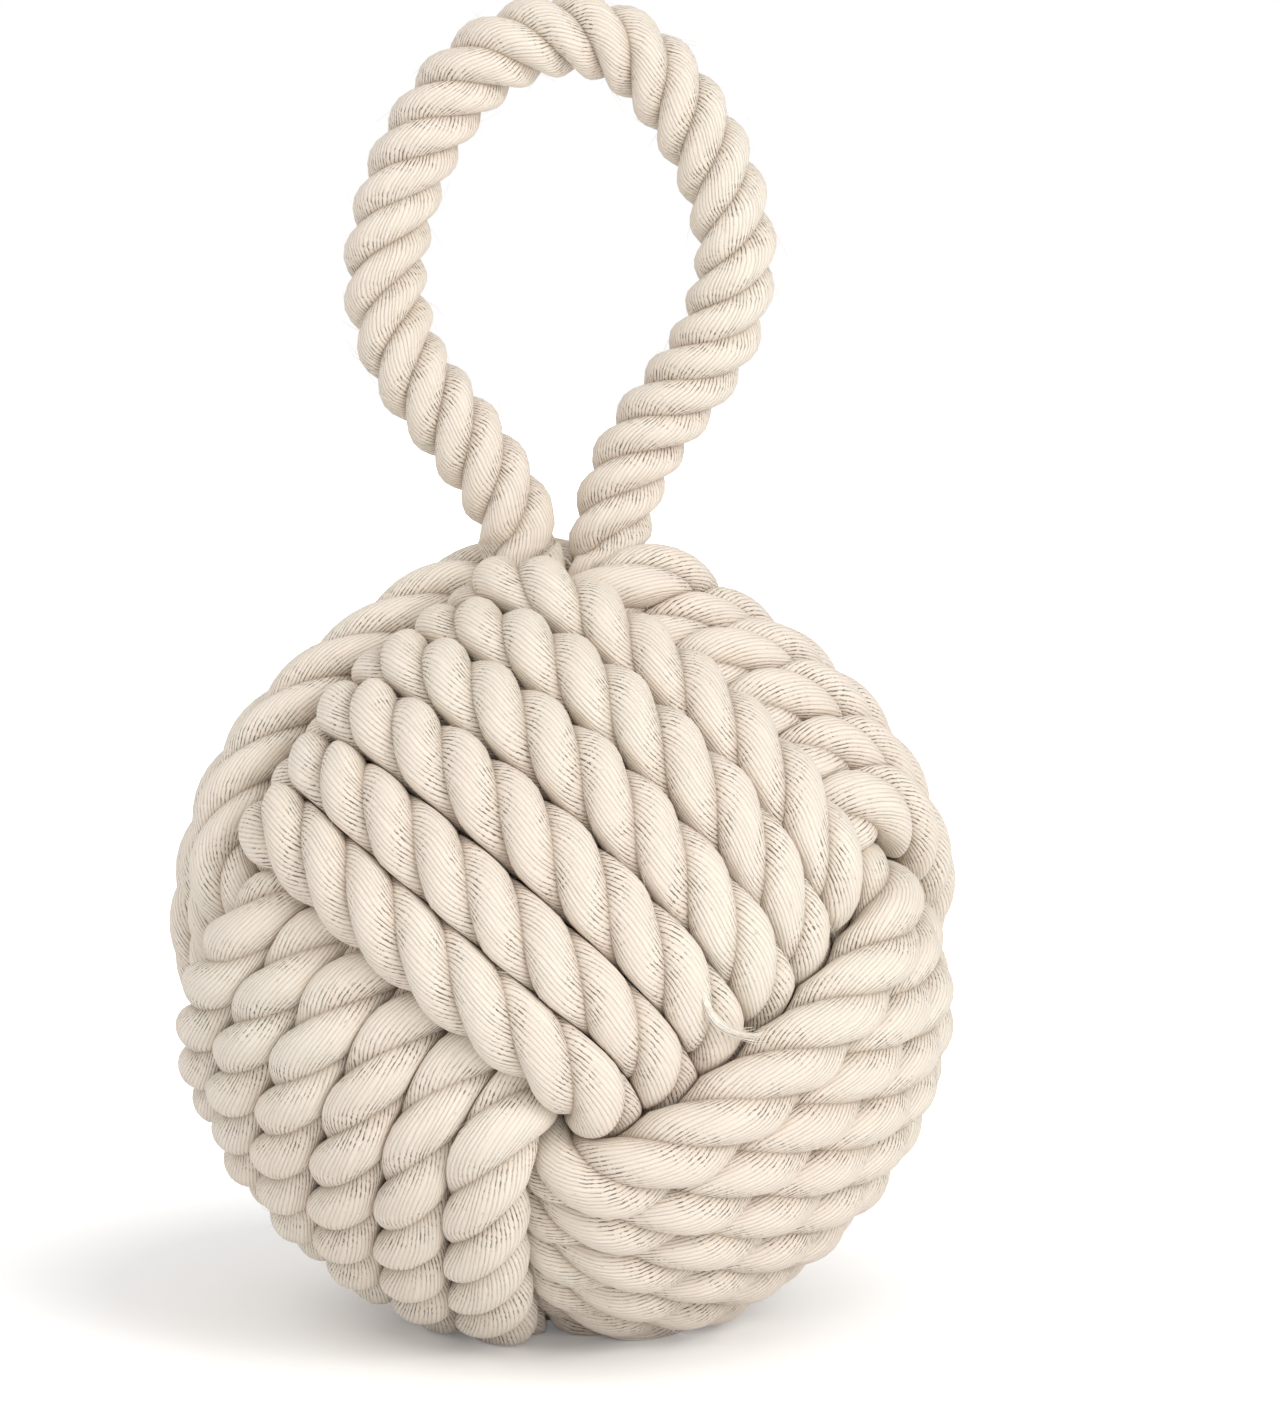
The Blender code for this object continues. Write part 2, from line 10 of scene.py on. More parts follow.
import bmesh
import bpy
import numpy as np
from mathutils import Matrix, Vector


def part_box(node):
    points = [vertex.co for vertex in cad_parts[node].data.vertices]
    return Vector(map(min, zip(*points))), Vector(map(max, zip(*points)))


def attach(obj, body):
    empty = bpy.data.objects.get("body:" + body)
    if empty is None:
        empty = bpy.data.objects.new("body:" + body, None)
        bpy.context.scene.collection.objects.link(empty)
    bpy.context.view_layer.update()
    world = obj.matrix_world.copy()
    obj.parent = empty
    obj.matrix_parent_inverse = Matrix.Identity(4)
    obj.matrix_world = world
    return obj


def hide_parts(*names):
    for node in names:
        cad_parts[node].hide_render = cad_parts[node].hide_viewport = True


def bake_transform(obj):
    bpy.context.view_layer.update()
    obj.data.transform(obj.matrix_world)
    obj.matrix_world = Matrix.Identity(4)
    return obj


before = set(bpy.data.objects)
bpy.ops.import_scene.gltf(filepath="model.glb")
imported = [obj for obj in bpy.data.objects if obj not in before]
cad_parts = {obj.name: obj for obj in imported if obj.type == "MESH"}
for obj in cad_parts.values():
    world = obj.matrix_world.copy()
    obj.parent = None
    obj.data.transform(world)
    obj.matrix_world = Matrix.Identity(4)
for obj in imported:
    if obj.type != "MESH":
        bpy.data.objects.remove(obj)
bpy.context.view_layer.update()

# Sizes that the rope's route follows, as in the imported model
ROPE = 0.0142
HANDLE_ROPE = ROPE + 0.0018
TURNS = 6
CORE_RADIUS = 0.0465
FACE_SPACING = 1.06
EDGE_SPACING = 0.88
OUTER_REACH = 1.52
LEG_SPACING = HANDLE_ROPE + 0.0006
LEG_SETBACK = 0.003
THROAT = CORE_RADIUS + 2 * ROPE + 0.0016
ROUTE_STEP = 0.0045
EASING_ROUNDS = 600
SAMPLE_STEP = 0.0015
FLOOR_LAYER = CORE_RADIUS + (OUTER_REACH - 0.07) * ROPE
STRAIGHT_LEG = 1.5 * ROPE
STRAIGHT_END = 2 * SAMPLE_STEP
HANDLE_POINTS = (
    (-0.0083, 0.0035), (-0.0127, 0.0123), (-0.0193, 0.0212), (-0.0275, 0.0311),
    (-0.0323, 0.0411), (-0.0336, 0.0530), (-0.0316, 0.0634), (-0.0283, 0.0729),
    (-0.0228, 0.0824), (-0.0143, 0.0912), (-0.0035, 0.0957), (0.0077, 0.0951),
    (0.0155, 0.0904), (0.0220, 0.0830), (0.0274, 0.0736), (0.0310, 0.0638),
    (0.0323, 0.0535), (0.0304, 0.0436), (0.0260, 0.0346), (0.0195, 0.0260),
    (0.0133, 0.0170), (0.0083, 0.0035),
)
LOOSE_YARN = (
    (0.0250, -0.0680, 0.0765), (0.0254, -0.0692, 0.0738), (0.0260, -0.0692, 0.0716),
    (0.0270, -0.0683, 0.0697), (0.0284, -0.0674, 0.0680), (0.0302, -0.0662, 0.0668),
    (0.0324, -0.0645, 0.0658), (0.0342, -0.0628, 0.0653), (0.0359, -0.0611, 0.0653),
    (0.0371, -0.0604, 0.0657),
)
FRONT = np.array([0.0, -math.sqrt(2 / 3), math.sqrt(1 / 3)])
RIGHT = np.array([math.sqrt(1 / 2), math.sqrt(1 / 6), math.sqrt(1 / 3)])
LEFT = np.array([-math.sqrt(1 / 2), math.sqrt(1 / 6), math.sqrt(1 / 3)])
FACES = np.stack([FRONT, RIGHT, LEFT])

# The rope's make
STRANDS = 3
YARNS = 38  # yarns round one strand
COLUMNS = 24  # lines of points round one strand
ROW_STEP = 0.002  # between one ring of points and the next along a strand
KNOT_RADIUS = 0.0079  # the rope's radius in the knot before it is pressed flat
SIDEWAYS = 1.16  # how far the turns spread towards each other under their own pull
OUTWARDS = 0.97  # and how far they sink
LAP = 2  # rows by which knot and handle run on inside each other, unseen
LAPPED = 0.94  # and how much slimmer they are there
HANDLE_RADIUS = HANDLE_ROPE / 2
STRAND_OFFSET = 0.42  # from the rope's middle to a strand's, in rope radii
STRAND_RADIUS = 0.58  # in rope radii
HANDLE_LAY = 0.026  # one full twist of the strands, in the handle
FRONT_LAY = 0.038  # the same in the wrap that shows on the front
KNOT_LAY = 0.040  # the same in the other two wraps
YARN_TURN = 0.5  # how far the yarns turn back as the strands twist
PRESS = 14.0  # how sharply a pressed side turns flat
SNUG = 0.00012  # left between a pressed side and its neighbour
FLOOR_PRESS = 0.0008  # height under which the lowest turns flatten on the floor
POUCH_CLEAR = 0.0002  # kept between the rope and the pouch
FRONT_FROM = 0.655  # share of the knot's length at which the front wrap begins
WANDER = 0.10  # how far the strands' twist strays, in radians
NEAR = 0.022  # another stretch of rope presses on this one when it lies closer
APART = 0.020  # and is at least this far away along the rope
STRAND_MARK = 10.0  # added to a strand's length marks, so that each strand has yarns of its own

# The fuzz and the broken yarn
KNOT_FIBRES = 1900
HANDLE_FIBRES = 700
FIBRE = 0.00009  # a stray fibre's thickness
SUNK = 0.0001  # how deep under the yarns a stray fibre starts
BROKEN_FIBRES = 54  # fibres in the broken yarn's end
BROKEN_FIBRE = 3.2 * FIBRE
BUNDLE = 0.00032  # how far its fibres lie from its middle
FRAY = 0.0007  # and how much further they part at the tip

# The pouch, its neck and the two windings of twine
POUCH_WALL = 0.0014
NECK_RADIUS = 0.0062
NECK_BORE = 0.0018
PLEATS = 20
PLEAT_DEPTH = 0.0016
TIE_CORD = 0.0020
TIE_TURNS = 2
BINDING_LENGTH = 0.022
BINDING_INSIDE = 0.0046
BINDING_TWINE = 0.0007
BINDING_CLEAR = 0.0003  # between the binding and the rope that it holds
BINDING_TAPER = 0.006  # over which the rope swells again on both sides of it
FILL_GAP = 0.0003  # between the pouch and its sand

# The camera, the light and the floor
CAMERA_TILT = 6.0  # degrees downwards
CAMERA_AWAY = 0.893  # from the place that it is aimed at
AIM_RIGHT = 0.0142  # of the knot's middle
AIM_UP = 0.0464  # over the knot's middle
LIT_HEIGHT = 0.1  # over the floor, where every lamp is aimed
ROOM_LIGHT = 0.66  # what the white room gives the object, where a strength of 1 is white
SHADOW_MIDDLE = (-0.03, 0.03, 0.0)
SHADOW_KEPT = 0.06  # nearer than this to its middle the floor is hardly lifted to white
SHADOW_GONE = 0.22  # and further than this it is all white

# The knot's middle, from the pouch that it is tied round
pouch_low, pouch_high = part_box("core_pouch")
POUCH_RADIUS = (pouch_high.x - pouch_low.x) / 2
MIDDLE = np.array([0.0, 0.0, pouch_low.z + POUCH_RADIUS])


# Routes


def lengths_along(points):
    steps = np.linalg.norm(np.diff(points, axis=0), axis=1)
    return np.concatenate([[0.0], np.cumsum(steps)])


def evenly_spaced(points, spacing):
    """The same route with its points a set distance apart."""
    along = lengths_along(points)
    wanted = np.linspace(0.0, along[-1], int(round(along[-1] / spacing)) + 1)
    return np.stack([np.interp(wanted, along, points[:, axis]) for axis in range(3)], axis=1)


def directions(points):
    run = np.gradient(points, axis=0)
    return run / np.linalg.norm(run, axis=1)[:, None]


def smoothed(points, rounds):
    """The route with its small kinks rubbed out; the ends keep their places."""
    for _ in range(rounds):
        points[1:-1] = 0.5 * points[1:-1] + 0.25 * (points[:-2] + points[2:])
    return points


def straightened(points, low, high):
    """The same route, straight between two of its points."""
    share = np.linspace(0.0, 1.0, high - low + 1)[:, None]
    points[low : high + 1] = points[low] * (1 - share) + points[high] * share
    return points


def wrap_turns(over, under, stacked, enters, climbs, start=45.0, end=135.0):
    """One wrap of turns in its first, loose form.

    The turns lie outside on the faces along `over`, lie covered on the faces along `under`
    and are stacked along `stacked`. Each climbs to the next place as it passes a covered
    face, so no climb shows.
    """
    squareness = 5.0
    outer = CORE_RADIUS + 1.49 * ROPE
    inner = CORE_RADIUS + 0.44 * ROPE
    angle = np.arange(start, 360.0 * TURNS + end, 3.75) * math.pi / 180
    turn = np.floor((angle - math.pi / 4 + 1e-9) / (2 * math.pi))
    part = np.clip((angle - math.pi / 4 - 2 * math.pi * turn) / (math.pi / 2), 0.0, 1.0)
    place = turn - (TURNS + 1) / 2 + part * part * (3 - 2 * part)
    edge = 1.0 - 0.12 * np.sin(2 * angle) ** 2
    last = (TURNS - 1) / 2 + 0.4
    offset = climbs * np.clip(place, -last, last) * 0.986 * ROPE * edge
    cosine, sine = np.cos(angle), np.sin(angle)
    squared_cosine = np.sign(cosine) * np.abs(cosine) ** (2 / squareness)
    squared_sine = np.sign(sine) * np.abs(sine) ** (2 / squareness)
    along_over = enters * np.sqrt(outer**2 - offset**2) * squared_cosine
    along_under = -enters * climbs * np.sqrt(inner**2 - offset**2) * squared_sine
    return np.stack([along_over, along_under, offset], axis=1) @ np.stack([over, under, stacked])


def loose_route():
    """The whole knot in one run: down one leg, through the three wraps and up the other."""
    first = wrap_turns(LEFT, RIGHT, FRONT, 1, -1, start=62.0)
    second = wrap_turns(RIGHT, FRONT, LEFT, 1, 1)
    third = wrap_turns(FRONT, LEFT, RIGHT, -1, 1, end=118.0)
    heights = np.linspace(THROAT + STRAIGHT_LEG, THROAT - STRAIGHT_END, 9)
    across, back = np.full(9, LEG_SPACING / 2), np.full(9, LEG_SETBACK)
    leg_in = np.stack([across, back, heights], axis=1)
    leg_out = leg_in[::-1] * [-1, 1, 1]
    low, high = THROAT - 0.85 * ROPE, THROAT - 0.4 * ROPE
    bend_in = [[0.57 * ROPE, 0.1 * ROPE, high], [0.6 * ROPE, -0.14 * ROPE, low]]
    bend_out = [[-0.56 * ROPE, 0.35 * ROPE, low], [-0.57 * ROPE, 0.25 * ROPE, high]]
    return np.concatenate([leg_in, bend_in, first, second, third, bend_out, leg_out])


def neighbours(points):
    """Pairs of points that lie close to each other on different stretches of the rope."""
    apart = ((points[:, None, :] - points[None, :, :]) ** 2).sum(axis=2)
    first, second = np.nonzero(apart < (1.4 * ROPE) ** 2)
    different = second - first > math.ceil(1.9 * ROPE / ROUTE_STEP)
    return first[different], second[different]


def spacing_wanted(points, first, second):
    """How far apart each pair should lie: wider mid-face and tighter where turns dive."""
    run = directions(points)
    alike = np.abs((run[first] * run[second]).sum(axis=1))
    side_by_side = np.clip((alike - 0.6) / 0.3, 0.0, 1.0)
    facing = np.abs(points @ FACES.T).max(axis=1) / np.linalg.norm(points, axis=1)
    mid_face = np.clip((facing - 0.76) / 0.18, 0.0, 1.0)[first]
    beside = EDGE_SPACING + (FACE_SPACING - EDGE_SPACING) * mid_face
    return ROPE * (1.0 + (beside - 1.0) * side_by_side)


def outer_limit(points, radius):
    """The outer turns' greatest reach: nearly a ball, fuller at its corners and at the top."""
    cornered = np.clip(np.abs(points @ FACES.T).min(axis=1) / radius / 0.577, 0.0, 1.0)
    topped = np.clip((points[:, 2] / radius - 0.9) / 0.1, 0.0, 1.0)
    return CORE_RADIUS + ROPE * (OUTER_REACH + 0.11 * cornered**1.5 + 0.35 * topped)


def ease_apart(points):
    """Draws the loose turns snug round the pouch in small steps, until they lie side by side.

    Each step straightens the rope a little, parts any two stretches that are too close,
    and keeps every turn off the pouch and inside the ball. The legs stay where they are.
    """
    kept = STRAIGHT_LEG + STRAIGHT_END
    for step in range(EASING_ROUNDS):
        if step % 10 == 0:
            points = evenly_spaced(points, ROUTE_STEP)
            count = len(points)
            first, second = neighbours(points)
            wanted = spacing_wanted(points, first, second)
            along = np.arange(count) * ROUTE_STEP
            free = ((along > kept) & (along < along[-1] - kept))[:, None]
        grown = min(1.0, 0.72 + 0.56 * step / EASING_ROUNDS)
        pull = 0.3 * (1 - step / EASING_ROUNDS) ** 0.7
        near = np.zeros_like(points)
        near[1:-1] = 0.5 * (points[:-2] + points[2:]) - points[1:-1]
        far = np.zeros_like(points)
        far[3:-3] = 0.5 * (points[:-6] + points[6:]) - points[3:-3]
        stiff = np.zeros_like(points)
        stiff[3:-3] = 0.5 * (far[:-6] + far[6:]) - far[3:-3]
        points = points + free * ((pull + 0.15) * near + 0.1 * pull * far - 0.11 * stiff)
        for _ in range(2):
            between = points[second] - points[first]
            distance = np.linalg.norm(between, axis=1)
            short = np.maximum(wanted * grown - distance, 0.0)
            push = (0.3 * short / distance)[:, None] * between
            close = (short > 0).astype(float)
            shares = np.bincount(first, close, count) + np.bincount(second, close, count)
            moves = np.zeros_like(points)
            for axis in range(3):
                moves[:, axis] += np.bincount(second, push[:, axis], count)
                moves[:, axis] -= np.bincount(first, push[:, axis], count)
            points = points + free * moves / np.maximum(shares / 2, 1.0)[:, None]
            radius = np.linalg.norm(points, axis=1)
            inside = radius < CORE_RADIUS + ROPE / 2
            points[inside] *= ((CORE_RADIUS + ROPE / 2) / radius[inside])[:, None]
            limit = outer_limit(points, radius)
            by_the_legs = np.hypot(points[:, 0], points[:, 1]) < 1.27 * ROPE
            outside = (radius > limit) & free[:, 0] & ~by_the_legs
            points[outside] *= (0.5 + 0.5 * limit / radius)[outside][:, None]
            points[:, 2] = np.maximum(points[:, 2], -FLOOR_LAYER)
    return evenly_spaced(points, SAMPLE_STEP)


def knot_route():
    """The knot's line from the right throat to the left, and where its two cut ends meet."""
    route = smoothed(ease_apart(loose_route()), 10)
    spare = int(round(STRAIGHT_LEG / SAMPLE_STEP))
    route = route[spare:-spare]
    route[0] = (LEG_SPACING / 2, LEG_SETBACK, THROAT)
    route[-1] = (-LEG_SPACING / 2, LEG_SETBACK, THROAT)
    reach = int(math.ceil(0.55 * BINDING_LENGTH / SAMPLE_STEP))
    meeting = len(route) - 1 - int(np.argmax(route[::-1] @ FRONT < 0))
    route = straightened(route, meeting - reach, meeting + reach)
    route[1:3] = route[0] - [[0, 0, SAMPLE_STEP], [0, 0, 2 * SAMPLE_STEP]]
    route[-3:-1] = route[-1] - [[0, 0, 2 * SAMPLE_STEP], [0, 0, SAMPLE_STEP]]
    return route, meeting


def handle_route():
    """The handle's smooth centre line, from the left throat round to the right throat."""
    foot = LEG_SPACING / 2
    wider = foot - HANDLE_POINTS[-1][0]
    loop = [(x + math.copysign(wider, x), z) for x, z in HANDLE_POINTS]
    plane = [(-foot, -ROPE), (-foot, 0.0), *loop, (foot, 0.0), (foot, -ROPE)]
    control = np.array([(x, LEG_SETBACK, THROAT + z) for x, z in plane])
    curve = []
    for a, b, c, d in zip(control, control[1:], control[2:], control[3:]):
        for t in np.linspace(0.0, 1.0, 12, endpoint=False):
            cubic = (3 * b - a - 3 * c + d) * t**3 + (2 * a - 5 * b + 4 * c - d) * t**2
            curve.append(0.5 * (cubic + (c - a) * t + 2 * b))
    curve.append(control[-2])
    return smoothed(evenly_spaced(np.array(curve), SAMPLE_STEP), 12)


def carried_side(points, ahead):
    """A sideways direction at each point, carried along the route without any twist."""
    side = np.zeros_like(points)
    start = np.cross([0.0, 1.0, 0.0], ahead[0])
    side[0] = start / np.linalg.norm(start)
    for index in range(len(points) - 1):
        step = points[index + 1] - points[index]
        scale = 2.0 / (step @ step)
        side_over = side[index] - scale * (step @ side[index]) * step
        ahead_over = ahead[index] - scale * (step @ ahead[index]) * step
        turn = ahead[index + 1] - ahead_over
        size = turn @ turn
        scale = 2.0 / size if size > 1e-18 else 0.0
        side[index + 1] = side_over - scale * (turn @ side_over) * turn
    return side


def drift(along, wavelength, seed):
    """A slow, smooth wandering between about -1 and 1, the same on every run."""
    chance = np.random.default_rng(seed)
    total = np.zeros_like(along)
    for scale in (1.0, 0.61, 0.37):
        waves = 2 * math.pi / (wavelength * scale)
        total += math.sqrt(scale) * np.sin(along * waves + chance.uniform(0, 2 * math.pi))
    return total / 1.9


# Rope


class Rope:
    """The whole rope as one closed run: the knot from right throat to left, then the handle."""

    def __init__(self):
        knot, meeting = knot_route()
        handle = handle_route()
        handle[:3, 0], handle[-3:, 0] = -LEG_SPACING / 2, LEG_SPACING / 2
        along = lengths_along(knot)
        self.meeting_point = knot[meeting] + MIDDLE
        self.meeting_way = directions(knot)[meeting]
        whole = np.concatenate([knot, handle[1:]])
        self.knot_length = along[-1]
        self.meeting_at = along[meeting]
        self.points = evenly_spaced(whole, ROW_STEP) + MIDDLE
        self.along = lengths_along(self.points)
        self.knot_rows = int(np.argmin(np.abs(self.along - self.knot_length)))
        self.ahead = directions(self.points)
        self.side = carried_side(self.points, self.ahead)
        self.up = np.cross(self.ahead, self.side)
        self.twist = self.twists()
        self.radius = self.radii()
        self.held = self.neighbour_planes()
        self.run_on()

    def twists(self):
        """How far the strands have turned at each row; they and their yarns meet at both throats."""
        length, end = self.knot_length, self.along[-1]
        into_front = np.clip((self.along / length - FRONT_FROM) / 0.03, 0.0, 1.0)
        into_handle = np.clip((self.along - length + 0.02) / 0.03, 0.0, 1.0)
        leaving = np.clip(1 - self.along / 0.03, 0.0, 1.0)
        lay = KNOT_LAY + (FRONT_LAY - KNOT_LAY) * into_front
        lay = lay + (HANDLE_LAY - lay) * np.maximum(into_handle, leaving)
        rate = 2 * math.pi / lay
        steps = 0.5 * (rate[1:] + rate[:-1]) * np.diff(self.along)
        twist = np.concatenate([[0.0], np.cumsum(steps)])
        turned = math.atan2(self.side[-1] @ self.up[0], self.side[-1] @ self.side[0])
        step = 2 * math.pi / STRANDS
        missing = -(twist[-1] + turned) % step
        missing = missing - step if missing > step / 2 else missing
        in_handle = np.clip((self.along - length) / (end - length), 0.0, 1.0)
        wander = WANDER * drift(self.along, 0.21, 5)
        faded = np.minimum(1.0, np.minimum(self.along, end - self.along) / 0.05)
        whole = 2 * math.pi * round((twist[-1] + missing + turned) / (2 * math.pi)) - turned
        spacing = 2 * math.pi / YARNS
        self.yarn_turn = (turned - spacing * round((turned - YARN_TURN * whole) / spacing)) / whole
        return twist + missing * in_handle + wander * faded

    def radii(self):
        """The rope's radius at each row: slimmer where the two cut ends are bound together."""
        in_handle = np.clip((self.along - self.knot_length) / 0.02, 0.0, 1.0)
        leaving = np.clip(1 - self.along / 0.02, 0.0, 1.0)
        radius = KNOT_RADIUS + (HANDLE_RADIUS - KNOT_RADIUS) * np.maximum(in_handle, leaving)
        radius = radius * (1 + 0.012 * drift(self.along, 0.17, 11))
        past_binding = np.abs(self.along - self.meeting_at) - BINDING_LENGTH / 2
        free = np.clip(past_binding / BINDING_TAPER, 0.0, 1.0)
        free = free * free * (3 - 2 * free)
        return (BINDING_INSIDE - BINDING_CLEAR) * (1 - free) + radius * free

    def neighbour_planes(self):
        """For each row, what limits its reach: two over the offset of each near neighbour."""
        held = []
        for index, point in enumerate(self.points):
            offset = self.points - point
            size = (offset**2).sum(axis=1)
            apart = np.abs(self.along - self.along[index])
            apart = np.minimum(apart, self.along[-1] - apart)
            near = (size < NEAR**2) & (apart > APART)
            held.append(2 * offset[near] / size[near][:, None])
        return held

    def run_on(self):
        """Carries the run a few rows straight on at both ends, where knot and handle lap."""
        steps = np.arange(1, LAP + 1) * (self.along[1] - self.along[0])
        before = self.points[0] - self.ahead[0] * steps[::-1, None]
        after = self.points[-1] + self.ahead[-1] * steps[:, None]
        self.points = np.concatenate([before, self.points, after])
        rate = (self.twist[1] - self.twist[0]) / steps[0]
        before, after = self.twist[0] - rate * steps[::-1], self.twist[-1] + rate * steps
        self.twist = np.concatenate([before, self.twist, after])
        before, after = self.along[0] - steps[::-1], self.along[-1] + steps
        self.along = np.concatenate([before, self.along, after])
        self.ahead, self.side, self.up, self.radius = (
            np.concatenate([values[:1].repeat(LAP, axis=0), values, values[-1:].repeat(LAP, axis=0)])
            for values in (self.ahead, self.side, self.up, self.radius)
        )
        self.held = self.held[:1] * LAP + self.held + self.held[-1:] * LAP
        self.throat_row = self.knot_rows + LAP
        self.meeting_row = int(np.argmin(np.abs(self.along - self.meeting_at)))
        self.end_row = len(self.points) - 1 - LAP

    def spread(self, reach, rows):
        """Widens the turns sideways and flattens them, fading out towards the handle."""
        outward = self.points[rows] - MIDDLE
        outward /= np.linalg.norm(outward, axis=1)[:, None]
        beside = np.cross(self.ahead[rows], outward)
        lies_flat = np.linalg.norm(beside, axis=1)
        beside /= np.maximum(lies_flat, 1e-6)[:, None]
        over = np.cross(beside, self.ahead[rows])
        share = np.clip((lies_flat - 0.55) / 0.35, 0.0, 1.0) * (self.along[rows] < self.knot_length)
        for way, change in ((beside, SIDEWAYS - 1), (over, OUTWARDS - 1)):
            part = (reach * way[:, None, :]).sum(axis=2, keepdims=True)
            reach = reach + (share * change)[:, None, None] * part * way[:, None, :]
        return reach

    def strand(self, number, rows, slimmer=1.0):
        """One strand's surface over some rows, and its lay at each of their points."""
        turn = self.twist[rows] + 2 * math.pi * number / STRANDS
        along, radius = self.along[rows], self.radius[rows] * slimmer
        offset = STRAND_OFFSET * radius * (1 + 0.04 * drift(along, 0.083, 41 + number))
        thick = STRAND_RADIUS * radius * (1 + 0.035 * drift(along, 0.047, 31 + number))
        reach, around = strand_reach(
            turn, self.side[rows], self.up[rows], offset, thick, self.yarn_turn, COLUMNS
        )
        reach = self.spread(reach, rows)
        surface = np.empty_like(reach)
        for index, row in enumerate(rows):
            surface[index] = self.points[row] + self.pressed(reach[index], self.held[row])
        from_middle = np.linalg.norm(surface - MIDDLE, axis=2)
        deep = from_middle < POUCH_RADIUS + POUCH_CLEAR
        inside = ((POUCH_RADIUS + POUCH_CLEAR) / from_middle[deep])[:, None]
        surface[deep] = MIDDLE + (surface[deep] - MIDDLE) * inside
        low = np.minimum(surface[..., 2], FLOOR_PRESS)
        surface[..., 2] += FLOOR_PRESS * np.exp(low / FLOOR_PRESS - 1) - low
        return surface, lay_marks(along + STRAND_MARK * number, YARNS, around)

    def pressed(self, reach, held):
        """Keeps one ring of points on its own side of the planes halfway to its neighbours."""
        if not len(held):
            return reach
        size = np.linalg.norm(reach, axis=1)
        limit = np.maximum(((reach / size[:, None]) @ held.T).max(axis=1), 1e-6)
        room = 1 / limit - SNUG
        return reach * (((size**-PRESS + room**-PRESS) ** (-1 / PRESS)) / size)[:, None]


def strand_reach(turn, side, up, offset, thick, yarn_turn, columns):
    """Points round one strand from the rope's middle, on lines that follow its yarns.

    With them comes how far round each point lies from the strand's outermost line, 0 to 1.
    """
    angle = np.linspace(0.0, 2 * math.pi, columns + 1)[None, :] - yarn_turn * turn[:, None]
    sideways = (offset * np.cos(turn))[:, None] + thick[:, None] * np.cos(angle)
    upward = (offset * np.sin(turn))[:, None] + thick[:, None] * np.sin(angle)
    reach = sideways[..., None] * side[:, None, :] + upward[..., None] * up[:, None, :]
    around = np.abs((angle - turn[:, None] + math.pi) % (2 * math.pi) - math.pi) / math.pi
    return reach, around


def lay_marks(along, yarns, around):
    """What the finish reads at each point: metres along, yarn number, and how far round."""
    yarn = np.linspace(0.0, yarns, around.shape[1])
    return np.stack(np.broadcast_arrays(along[:, None], yarn[None, :], around), axis=2)


def strand_mesh(surface, lay, strips=1, strip=0, of=1):
    """A closed tube through rings of points, with its lay marked on every corner."""
    rows, columns = surface.shape[:2]
    shape = bmesh.new()
    shape.loops.layers.uv.new("UVMap")
    bmesh.ops.create_grid(
        shape, x_segments=columns - 1, y_segments=rows - 1, size=1.0, calc_uvs=True
    )
    grid = bpy.data.meshes.new("grid")
    shape.to_mesh(grid)
    shape.free()
    grid.vertices.foreach_set("co", surface.reshape(-1))
    uv = np.empty(len(grid.loops) * 2)
    grid.uv_layers[0].data.foreach_get("uv", uv)
    uv = uv.reshape(-1, 2)
    column = np.rint(uv[:, 0] * (columns - 1)).astype(int)
    row = np.rint(uv[:, 1] * (rows - 1)).astype(int)
    marks = grid.attributes.new("lay", "FLOAT_VECTOR", "CORNER")
    marks.data.foreach_set("vector", lay[row, column].reshape(-1))
    first_row = np.repeat(row.reshape(-1, 4).min(axis=1), 4)
    per_strip = math.ceil((rows - 1) / strips)
    band = first_row // per_strip
    share = (strip * strips + band + column / (columns - 1)) / (strips * of)
    flat = np.stack([(row - band * per_strip) / per_strip, share], axis=1)
    grid.uv_layers[0].data.foreach_set("uv", flat.reshape(-1))
    shape = bmesh.new()
    shape.from_mesh(grid)
    bpy.data.meshes.remove(grid)
    shape.verts.ensure_lookup_table()
    seam = {shape.verts[i * columns + columns - 1]: shape.verts[i * columns] for i in range(rows)}
    bmesh.ops.weld_verts(shape, targetmap=seam)
    bmesh.ops.holes_fill(shape, edges=[edge for edge in shape.edges if edge.is_boundary], sides=0)
    bmesh.ops.recalc_face_normals(shape, faces=shape.faces)
    return shape


def twine_shapes(points, thickness, lay, plies, columns):
    """The plies of a thin twine that is laid along a route."""
    ahead = directions(points)
    side = carried_side(points, ahead)
    up = np.cross(ahead, side)
    along = lengths_along(points)
    offset = np.full(len(points), 0.24 * thickness)
    thick = np.full(len(points), 0.27 * thickness)
    shapes = []
    for number in range(plies):
        turn = 2 * math.pi * (along / lay + number / plies)
        reach, around = strand_reach(turn, side, up, offset, thick, YARN_TURN, columns)
        marks = lay_marks(along, 8, around)
        shapes.append(strand_mesh(points[:, None, :] + reach, marks, 4, number, plies))
    return shapes


def placed(name, data):
    """A new object in the scene, at the origin."""
    made = bpy.data.objects.new(name, data)
    bpy.context.scene.collection.objects.link(made)
    return made


def finished(name, shapes, finish):
    """Puts one or more shapes into a named piece with its finish."""
    whole = bmesh.new()
    for shape in shapes:
        part = bpy.data.meshes.new("part")
        shape.to_mesh(part)
        shape.free()
        whole.from_mesh(part)
        bpy.data.meshes.remove(part)
    mesh = bpy.data.meshes.new(name)
    whole.to_mesh(mesh)
    whole.free()
    mesh.shade_smooth()
    mesh.materials.append(finish)
    return placed(name, mesh)


# Finishes


